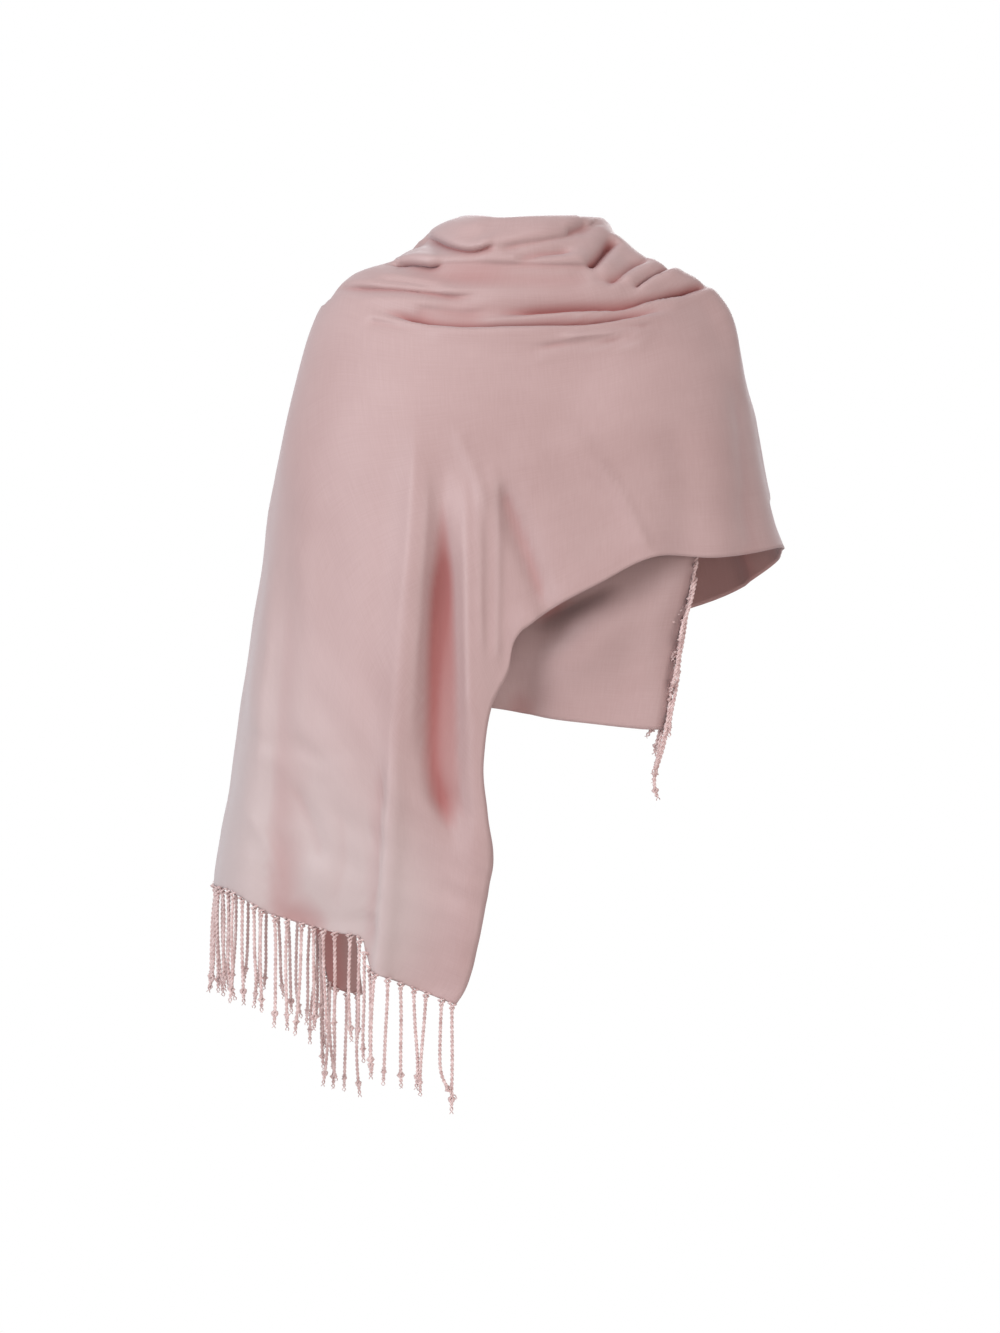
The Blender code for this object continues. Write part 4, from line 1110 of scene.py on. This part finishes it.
@dataclass(frozen=True)
class ClothFinish:
    """Fine dusty pink twill with a soft satin sheen."""

    name: str = "pink_twill"
    shade: Colour = (0.378, 0.236, 0.226)
    light: Colour = (0.460, 0.308, 0.300)
    shade_places: tuple[float, float] = (0.28, 0.72)
    thread_share: float = 0.45
    cloud_share: float = 0.55
    threads_per_metre: float = 900.0
    slub_scale: float = 26.0
    cloud_scale: float = 7.0
    # painted sheen towards the hanging end: its tint and its strength
    pale: Colour = (0.50, 0.42, 0.41)
    painted_sheen_share: float = 0.6
    # painted highlight on the ridges of folds: its tint and its strength
    crest_highlight: Colour = (0.56, 0.42, 0.42)
    crest_highlight_gain: float = 0.8
    # painted shade deep in folds: its tint, its strength, and how much rougher it makes the cloth there
    hollow_shade: Colour = (0.33, 0.100, 0.092)
    hollow_shade_gain: float = 0.9
    hollow_dulling: float = 0.40
    roughness: float = 0.50
    thread_roughness: float = 0.16
    sheen: float = 0.28
    sheen_roughness: float = 0.50
    sheen_tint: Colour = (0.90, 0.93, 1.00)
    specular: float = 0.40
    relief: float = 0.10
    relief_depth: float = 0.0006

    def material(self, weave: Weave, painted_light: FoldPaintedLight) -> bpy.types.Material:
        """Builds the material.

        Args:
            weave: the shared group of the weave.
            painted_light: the shared group of the painted sheen, highlight and shade.

        Returns:
            The finished material.
        """
        made, graph, shader = new_material(self.name)
        woven = graph.group(weave, {
            "Threads per metre": self.threads_per_metre, "Slub scale": self.slub_scale,
            "Cloud scale": self.cloud_scale,
        })
        threads = graph.math("MULTIPLY", woven["Threads"], self.thread_share)
        mixed = graph.math("ADD", threads, graph.math("MULTIPLY", woven["Clouds"], self.cloud_share))
        # painted sheen, painted highlight and painted shade laid over the weave's colour
        light_painted = graph.group(painted_light, {
            "Colour": graph.shades(mixed, self.shade_places, (self.shade, self.light)),
            "Depth": graph.node("ShaderNodeAttribute", attribute_name=StoleCloth.light_depth_name).outputs["Fac"],
            "Painted sheen tint": self.pale, "Painted sheen share": self.painted_sheen_share,
            "Painted highlight tint": self.crest_highlight, "Painted highlight gain": self.crest_highlight_gain,
            "Painted shade tint": self.hollow_shade, "Painted shade gain": self.hollow_shade_gain, "Dulling": self.hollow_dulling,
        })
        uneven = graph.math("MULTIPLY", woven["Threads"], self.thread_roughness)
        rough = graph.math("ADD", uneven, self.roughness - self.thread_roughness / 2)
        graph.fill(shader, {
            "Base Color": light_painted["Colour"],
            "Roughness": graph.math("ADD", rough, light_painted["Dulling"]),
            "Normal": graph.bump(woven["Height"], self.relief, self.relief_depth),
            "Specular IOR Level": self.specular,
            "Sheen Weight": self.sheen,
            "Sheen Roughness": self.sheen_roughness,
            "Sheen Tint": self.sheen_tint,
        })
        return made


# The inner side's darker colours are painted shade, for where the inside of the winding lies in shadow.
SHADED_REVERSE = ClothFinish(
    "pink_twill_shaded_reverse", shade=(0.31, 0.165, 0.152), light=(0.38, 0.215, 0.200), painted_sheen_share=0.0
)


@dataclass(frozen=True)
class YarnFinish:
    """Twisted pink yarn with a fine mottle, paler and deeper by turns."""

    name: str = "pink_yarn"
    shade: Colour = (0.50, 0.315, 0.300)
    light: Colour = (0.73, 0.545, 0.525)
    shade_places: tuple[float, float] = (0.32, 0.68)
    mottle_scale: float = 160.0
    mottle_detail: float = 3.0
    roughness: float = 0.70
    sheen: float = 0.35
    sheen_roughness: float = 0.5
    relief: float = 0.25
    relief_depth: float = 0.0004

    def material(self) -> bpy.types.Material:
        """Builds the material."""
        made, graph, shader = new_material(self.name)
        place = graph.node("ShaderNodeTexCoord").outputs["Object"]
        mottle = graph.noise(place, self.mottle_scale, self.mottle_detail)
        graph.fill(shader, {
            "Base Color": graph.shades(mottle, self.shade_places, (self.shade, self.light)),
            "Normal": graph.bump(mottle, self.relief, self.relief_depth),
            "Roughness": self.roughness,
            "Sheen Weight": self.sheen,
            "Sheen Roughness": self.sheen_roughness,
        })
        return made


# ---- the cloth --------------------------------------------------------------------------------------


@dataclass
class StoleCloth:
    """The long cloth, from the end that lies under to the end that hangs over the arm."""

    winding: Winding
    width: float = 0.70
    length: float = 1.85
    thickness: float = 0.0009
    spacing: tuple[tuple[str, float], ...] = (
        ("inner_end", 0.0110), ("under_arm_back", 0.0095), ("back_arm", 0.0037), ("turn_start", 0.0026),
        ("hang_elbow", 0.0048),
    )
    bands: tuple[tuple[float, float, int], ...] = (
        (0.0, 0.06, 9), (0.06, 0.345, 70), (0.345, 0.80, 31), (0.80, 1.0, 20),
    )
    # how the fold depth is scaled into the number that paints shade in folds and highlight on their ridges
    drape_slack: float = 0.0040
    drape_depth: float = 0.0095
    crease_slack: float = 0.0015
    crease_depth: float = 0.0080
    crest_highlight_cap: float = -0.35
    # each wave's height in millimetres, radians a metre along and across the cloth, and radians at its start
    waves: tuple[tuple[float, float, float, float], ...] = (
        (0.55, 31, 9, 0.4), (0.45, -22, 27, 1.9), (0.35, 57, -13, 4.1), (0.25, 83, 41, 2.6),
    )
    points: np.ndarray = field(init=False)
    hollows: np.ndarray = field(init=False)
    stations: np.ndarray = field(init=False)
    widths: np.ndarray = field(init=False)

    name: ClassVar[str] = "stole_cloth"
    uv_name: ClassVar[str] = "cloth_uv"
    light_depth_name: ClassVar[str] = "fold_depth_for_painted_light"
    nodes: ClassVar[tuple[str, ...]] = (
        "under_stretch", "back_stretch", "cowl", "front_stretch", "hanging_end",
    )

    def __post_init__(self) -> None:
        """Works out the cloth's grid of points, with every fold pressed in."""
        self.stations = self._stations()
        self.widths = self._widths()
        creaser = Creaser(self.winding, self.stations)
        smooth = creaser.press(self.winding.points(self.stations, self.widths), FORMS)
        draped = creaser.press(smooth, DRAPES)
        creased = creaser.press(draped, CREASES)
        self.hollows = self._hollows(smooth, draped, creased)
        self.points = self._unevenness(creased)

    def build(self, front: bpy.types.Material, shaded_reverse: bpy.types.Material) -> bpy.types.Object:
        """Makes the cloth's object.

        Args:
            front: the material of its outer side.
            shaded_reverse: the material of its inner side, darkened with painted shade.

        Returns:
            The object, a single sheet with a live Solidify.
        """
        columns, rows = len(self.stations), len(self.widths)
        cloth = bmesh.new()
        bmesh.ops.create_grid(cloth, x_segments=columns - 1, y_segments=rows - 1, size=1.0)
        uv = cloth.loops.layers.uv.new(self.uv_name)
        shade = cloth.verts.layers.float.new(self.light_depth_name)
        along = self._along()
        for vert in cloth.verts:
            i = round((vert.co.x + 1) / 2 * (columns - 1))
            j = round((vert.co.y + 1) / 2 * (rows - 1))
            vert.co = self.points[i, j]
            # each point's fold depth, which the material turns into painted shade and painted highlight
            vert[shade] = self.hollows[i, j]
            place = (along[i], self.widths[j] * self.width)
            for loop in vert.link_loops:
                loop[uv].uv = place
        for face in cloth.faces:
            face.smooth = True
        made = new_object(self.name, finished_mesh(cloth, self.name, front, shaded_reverse))
        wall = made.modifiers.new("wall", "SOLIDIFY")
        wall.thickness = self.thickness
        wall.offset = -1.0
        wall.material_offset = 1
        return made

    def _stations(self) -> np.ndarray:
        """Places along the cloth, closer together over the front."""
        names = [name for name, _ in self.spacing]
        marks = [self.winding.station(name) for name in names] + [float(self.winding.stations[-1])]
        runs = []
        for (_, step), low, high in zip(self.spacing, marks, marks[1:]):
            runs.append(np.linspace(low, high, round((high - low) / step), endpoint=False))
        return np.concatenate([*runs, [marks[-1]]])

    def _widths(self) -> np.ndarray:
        """Shares of the width, closer together where the cloth is gathered and near its hem."""
        runs = [np.linspace(low, high, count, endpoint=False) for low, high, count in self.bands]
        return np.concatenate([*runs, [1.0]])

    def _along(self) -> np.ndarray:
        """The cloth's own length at each station, in metres, measured on its middle."""
        arc = arc_lengths(self.points[:, len(self.widths) // 2])
        return arc * self.length / arc[-1]

    def _hollows(self, smooth: np.ndarray, draped: np.ndarray, creased: np.ndarray) -> np.ndarray:
        """How deep in a fold each point lies: towards 1 deep in a trough, below 0 on a ridge; it sets painted
        shade and highlight.

        Args:
            smooth: the grid before its drapes.
            draped: the grid with its drapes.
            creased: the grid with its drapes and creases.

        Returns:
            A number for each point.
        """
        drape = ((smooth - draped) * grid_normals(smooth)).sum(axis=2)
        crease = ((draped - creased) * grid_normals(draped)).sum(axis=2)
        drape = np.clip((drape - self.drape_slack) / self.drape_depth, 0.0, 1.0)
        crease = np.sign(crease) * np.maximum(np.abs(crease) - self.crease_slack, 0.0) / self.crease_depth
        return drape + np.clip(crease, self.crest_highlight_cap, 1.0)

    def _unevenness(self, points: np.ndarray) -> np.ndarray:
        """Faint slow waves, so that no broad face is perfectly smooth.

        Args:
            points: the grid.

        Returns:
            The grid with its waves.
        """
        u, v = np.meshgrid(self.stations, self.widths * self.width, indexing="ij")
        waves = sum(
            height * np.sin(along * u + across * v + start) for height, along, across, start in self.waves
        )
        return points + grid_normals(points) * (waves * MM)[..., None]


# ---- the fringes ------------------------------------------------------------------------------------


@dataclass(frozen=True)
class StrandLook:
    """How the strands of one fringe hang.

    turn is the length in which a strand turns down, in metres, and spread is how unlike those lengths are.
    depth is how far strands start before and behind the row. sway, curl and drift turn them aside, as shares
    of their fall, and length is in metres.
    """

    turn: float
    spread: float
    depth: float
    sway: float
    curl: float
    drift: float = 0.0
    length: float = 0.112


@dataclass(frozen=True)
class Twist:
    """One strand's plies, knot and tuft.

    Radii, pitch, root_spread and root_reach are in metres. Places and lengths of the knot and the tuft are
    shares of the strand, and swells, thinning and the other spreads are shares of the radii.
    """

    plies: int = 2
    levels: int = 56
    sides: int = 5
    ply_radius: float = 0.00120
    radius: float = 0.00090
    pitch: float = 0.0095
    root_spread: float = 0.0026
    root_reach: float = 0.0060
    root_swell: float = 0.8
    knot_at: float = 0.87
    knot_length: float = 0.022
    knot_spread: float = 1.7
    knot_swell: float = 0.9
    knot_turns: float = 1.2
    knot_tightness: float = 0.02
    tuft_after: float = 0.03
    tuft_length: float = 0.10
    tuft_spread: float = 1.1
    tuft_thinning: float = 0.55
    start_way: Place = (0.31, 0.95, 0.05)

    def tube(self) -> bmesh.types.BMesh:
        """A closed straight tube of unit length and radius, cut into levels."""
        tube = bmesh.new()
        bmesh.ops.create_cone(tube, cap_ends=True, segments=self.sides, radius1=1.0, radius2=1.0, depth=1.0)
        rises = {edge: abs(edge.verts[0].co.z - edge.verts[1].co.z) for edge in tube.edges}
        long_edges = [edge for edge, rise in rises.items() if rise > 0.5]
        bmesh.ops.subdivide_edges(tube, edges=long_edges, cuts=self.levels - 1)
        return tube

    def wind(self, tube: bmesh.types.BMesh, path: np.ndarray, length: float, phase: float) -> None:
        """Winds one ply's straight tube round a strand's path, with the knot and the open tuft.

        Args:
            tube: the straight tube, which is bent where it is.
            path: the strand's centre line, with a point for each level.
            length: the fringe's length, which sets how often the plies turn.
            phase: where round the path the ply starts, in radians.
        """
        tangent = unit(np.gradient(path, axis=0))
        first = unit(np.cross(tangent, self.start_way))
        second = np.cross(tangent, first)
        share = np.linspace(0, 1, len(path))
        arc = share * length
        knot = np.exp(-(((share - self.knot_at) / self.knot_length) ** 2))
        tuft = smoothstep((share - self.knot_at - self.tuft_after) / self.tuft_length)
        flare = np.exp(-((arc / self.root_reach) ** 2))
        radius = self.radius * (1 + self.knot_spread * knot + self.tuft_spread * tuft)
        radius = radius + self.root_spread * flare
        thick = self.ply_radius * (1 + self.knot_swell * knot + self.root_swell * flare)
        thick = thick * (1 - self.tuft_thinning * tuft)
        tightened = self.knot_turns * np.tanh((share - self.knot_at) / self.knot_tightness)
        wound = phase + 2 * math.pi * (arc / self.pitch + tightened)
        centre = path + (first * np.cos(wound)[:, None] + second * np.sin(wound)[:, None]) * radius[:, None]
        for vert in tube.verts:
            level = round((vert.co.z + 0.5) * self.levels)
            size = thick[level]
            vert.co = Vector(centre[level] + (first[level] * vert.co.x + second[level] * vert.co.y) * size)


Root = tuple[np.ndarray, np.ndarray, np.ndarray]


@dataclass
class Fringe:
    """One fringe: twisted two-ply strands along an end of the cloth, each with a knot and a tuft."""

    name: str
    node: str
    cloth: StoleCloth
    look: StrandLook
    at_inner: bool
    share_from: float
    share_to: float
    corner: float
    seed: int
    hooked_from_end: int | None = None
    twist: Twist = Twist()
    pitch: float = 0.0136
    unevenness: float = 0.0022
    root_depth: float = 0.0015
    shortest: float = -0.07
    longest: float = 0.05
    pace: tuple[float, float] = (0.6, 1.3)
    swing: float = 1.2
    curl_from: float = 0.55
    curl_run: float = 0.45
    curl_depth: float = 0.6
    curl_lift: float = 0.35
    hook_way: Place = (0.75, 0.0, 0.15)
    depth_reach: float = 0.02

    def build(self, finish: bpy.types.Material) -> bpy.types.Object:
        """Makes the fringe's object.

        Args:
            finish: the yarn's material.

        Returns:
            One mesh of all the strands.
        """
        rng = np.random.default_rng(self.seed)
        template = self.twist.tube()
        joined = bmesh.new()
        roots = self._roots()
        hooked = None if self.hooked_from_end is None else len(roots) - 1 - self.hooked_from_end
        for number, root in enumerate(roots):
            path = self._path(root, number, rng, number == hooked)
            for ply in range(self.twist.plies):
                strand = template.copy()
                self.twist.wind(strand, path, self.look.length, 2 * math.pi * ply / self.twist.plies + number)
                mesh = finished_mesh(strand, "ply")
                joined.from_mesh(mesh)
                bpy.data.meshes.remove(mesh)
        template.free()
        for face in joined.faces:
            face.smooth = True
        return new_object(self.name, finished_mesh(joined, self.name, finish))

    def _roots(self) -> list[Root]:
        """Each strand's root on the cloth's end, the way off the cloth, and the cloth's normal."""
        end, outward = (0, -1.0) if self.at_inner else (-1, 1.0)
        normals = grid_normals(self.cloth.points)[end]
        edge = self.cloth.points[end]
        beyond = outward * unit(np.cross(np.gradient(edge, axis=0), normals))
        keep = (self.cloth.widths >= self.share_from) & (self.cloth.widths <= self.share_to)
        edge, beyond, normals = edge[keep], beyond[keep], normals[keep]
        arc = arc_lengths(edge)
        count = int((arc[-1] - 2 * self.corner) / self.pitch) + 1
        places = np.linspace(self.corner, arc[-1] - self.corner, count)
        places[1:-1] += np.random.default_rng(self.seed).uniform(-self.unevenness, self.unevenness, count - 2)

        def read(values: np.ndarray) -> np.ndarray:
            """Values along the edge at each strand."""
            return np.stack([np.interp(places, arc, values[:, axis]) for axis in range(3)], axis=-1)

        off = unit(read(beyond))
        normal = unit(read(normals))
        root = read(edge) - normal * self.cloth.thickness / 2 - off * self.root_depth
        return list(zip(root, off, normal))

    def _path(self, root: Root, number: int, rng: np.random.Generator, hooked: bool) -> np.ndarray:
        """A strand's centre line: off the cloth, over into a fall, and down with its own sway or into a hook.

        Args:
            root: its start, the way off the cloth, and the cloth's normal.
            number: its number in the fringe. Strands start behind, in and before the row by turns.
            rng: where its chances come from.
            hooked: whether its lower part turns aside in a hook.

        Returns:
            A point for each level.
        """
        start, off, normal = root
        look = self.look
        length = look.length * (1 + rng.uniform(self.shortest, self.longest))
        places = np.linspace(0, length, self.twist.levels + 1)
        turn = look.turn * (1 + look.spread * rng.uniform(-1, 1))
        fall = smoothstep(places / turn)[:, None]
        lean = np.array([look.drift + rng.normal(0, look.sway), rng.normal(0, look.sway), 0.0])
        phase = rng.uniform(0, 2 * math.pi, 2)
        pace = rng.uniform(*self.pace) * 2 * math.pi / length
        sines = [np.sin(pace * places + phase[0]), np.sin(pace * places + phase[1]), np.zeros_like(places)]
        swing = np.stack(sines, axis=-1)
        curl = look.curl * smoothstep((places / length - self.curl_from) / self.curl_run)[:, None]
        aside, deep, up = rng.normal(), rng.normal() * self.curl_depth, self.curl_lift * rng.uniform(0, 1)
        curl_way = np.array([aside, deep, up])
        if hooked:
            curl_way = np.array(self.hook_way) / look.curl
        way = off * (1 - fall) + (-UP + lean + swing * look.sway * self.swing) * fall + curl_way * curl * fall
        way += normal * (look.depth * ((number % 3) - 1) * np.exp(-places / self.depth_reach))[:, None]
        way = unit(way)
        steps = np.diff(places)[:, None] * (way[:-1] + way[1:]) / 2
        return np.concatenate([[start], start + np.cumsum(steps, axis=0)])


HANGING_LOOK = StrandLook(turn=0.006, spread=0.3, depth=0.10, sway=0.028, curl=0.14)
UNDER_LOOK = StrandLook(turn=0.006, spread=0.6, depth=0.40, sway=0.06, curl=0.40, drift=-0.25, length=0.080)


# ---- the studio -------------------------------------------------------------------------------------


@dataclass(frozen=True)
class SoftBox:
    """One square soft light: where it stands, what it faces, its size, power and colour."""

    name: str
    place: Place
    target: Place
    size: float
    power: float
    colour: Colour = (1.0, 1.0, 1.0)


@dataclass
class Studio:
    """The camera, the pale floor and soft lights."""

    camera_place: Place = (-0.02625, -3.2, -0.4163)
    frame_height: float = 1.39965
    sensor: float = 36.0
    floor_radius: float = 1.25
    floor_height: float = -1.40
    floor_sides: int = 96
    floor_colour: Colour = (0.86, 0.86, 0.86)
    floor_roughness: float = 0.8
    room_colour: Colour = (1.0, 1.0, 1.0)
    room_light: float = 0.55
    far_wall_light: float = 1.0
    far_wall: tuple[float, float] = (0.80, 0.95)
    boxes: tuple[SoftBox, ...] = (
        SoftBox("key", (-2.1, -1.9, 0.45), (-0.1, 0, -0.42), 1.8, 55.0, (0.88, 0.95, 1.0)),
        SoftBox("fill", (1.6, -2.4, -0.7), (0.05, 0, -0.35), 1.6, 25.0, (1.0, 0.92, 0.88)),
        SoftBox("back", (0.6, 2.6, 1.3), (0, 0, -0.35), 2.0, 40.0),
        SoftBox("top", (-0.5, -1.7, 2.0), (0, 0, -0.2), 0.9, 20.0),
    )

    def build(self) -> None:
        """Sets up everything."""
        self._camera()
        self._floor()
        self._world()
        for box in self.boxes:
            self._light(box)

    def _camera(self) -> None:
        """The camera, level and square on."""
        lens = bpy.data.cameras.new("camera")
        lens.sensor_width = self.sensor
        lens.lens = self.sensor * -self.camera_place[1] / self.frame_height
        made = new_object("camera", lens)
        made.location = self.camera_place
        made.rotation_euler = (math.pi / 2, 0, 0)
        bpy.context.scene.camera = made

    def _floor(self) -> None:
        """A plain pale disc."""
        disc = bmesh.new()
        bmesh.ops.create_circle(disc, cap_ends=True, segments=self.floor_sides, radius=self.floor_radius)
        bmesh.ops.translate(disc, verts=disc.verts, vec=(0, 0, self.floor_height))
        paint, graph, shader = new_material("pale_floor")
        graph.fill(shader, {"Base Color": self.floor_colour, "Roughness": self.floor_roughness})
        new_object("floor", finished_mesh(disc, "floor", paint))

    def _world(self) -> None:
        """An even white room, brighter on its far wall."""
        world = bpy.data.worlds.new("studio")
        bpy.context.scene.world = world
        world.use_nodes = True
        graph = NodeGraph(world.node_tree)
        place = graph.node("ShaderNodeTexCoord").outputs["Generated"]
        depth = graph.node("ShaderNodeSeparateXYZ", {0: place}).outputs["Y"]
        light = graph.change(depth, self.far_wall, (self.room_light, self.far_wall_light))
        graph.fill(world.node_tree.nodes["Background"], {"Color": self.room_colour, "Strength": light})
        bpy.context.scene.view_settings.view_transform = "Standard"

    @staticmethod
    def _light(box: SoftBox) -> None:
        """One soft light, turned to its target.

        Args:
            box: its sizes.
        """
        lamp = bpy.data.lights.new(box.name, "AREA")
        lamp.size = box.size
        lamp.energy = box.power
        lamp.color = box.colour
        made = new_object(box.name, lamp)
        made.location = box.place
        aim = Vector(box.target) - Vector(box.place)
        made.rotation_euler = aim.to_track_quat("-Z", "Y").to_euler()


# ---- assembly ---------------------------------------------------------------------------------------


def place_piece(piece: bpy.types.Object, slot: str, *nodes: str) -> None:
    """Makes a finished piece ride on the frame and stand for its CAD nodes.

    Args:
        piece: the finished object.
        slot: the record's material slot; not used.
        nodes: the CAD nodes that it replaces.
    """
    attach(piece, "root")
    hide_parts(*nodes)
    LOG.info("%s stands for %s", piece.name, ", ".join(nodes))


def main() -> None:
    """Builds the stole and its studio."""
    logging.basicConfig(level=logging.INFO, format="%(name)s: %(message)s")
    Studio().build()
    weave, painted_light = Weave(), FoldPaintedLight()
    twill = ClothFinish().material(weave, painted_light)
    shaded_reverse = SHADED_REVERSE.material(weave, painted_light)
    yarn = YarnFinish().material()
    cloth = StoleCloth(Winding(Figure()))
    sheet = cloth.build(twill, shaded_reverse)
    place_piece(sheet, "cloth", *StoleCloth.nodes)
    fringes = (
        Fringe("under_fringe_strands", "under_fringe", cloth, UNDER_LOOK,
               at_inner=True, share_from=0.0, share_to=1.0, corner=0.005, seed=11),
        Fringe("back_fringe_strands", "hanging_fringe_back", cloth, HANGING_LOOK,
               at_inner=False, share_from=0.0, share_to=0.43, corner=0.007, seed=23),
        Fringe("front_fringe_strands", "hanging_fringe_front", cloth, HANGING_LOOK,
               at_inner=False, share_from=0.43, share_to=1.0, corner=0.004, seed=37, hooked_from_end=1),
    )
    for fringe in fringes:
        made = fringe.build(yarn)
        place_piece(made, "fringe", fringe.node)


if __name__ == "__main__":
    main()
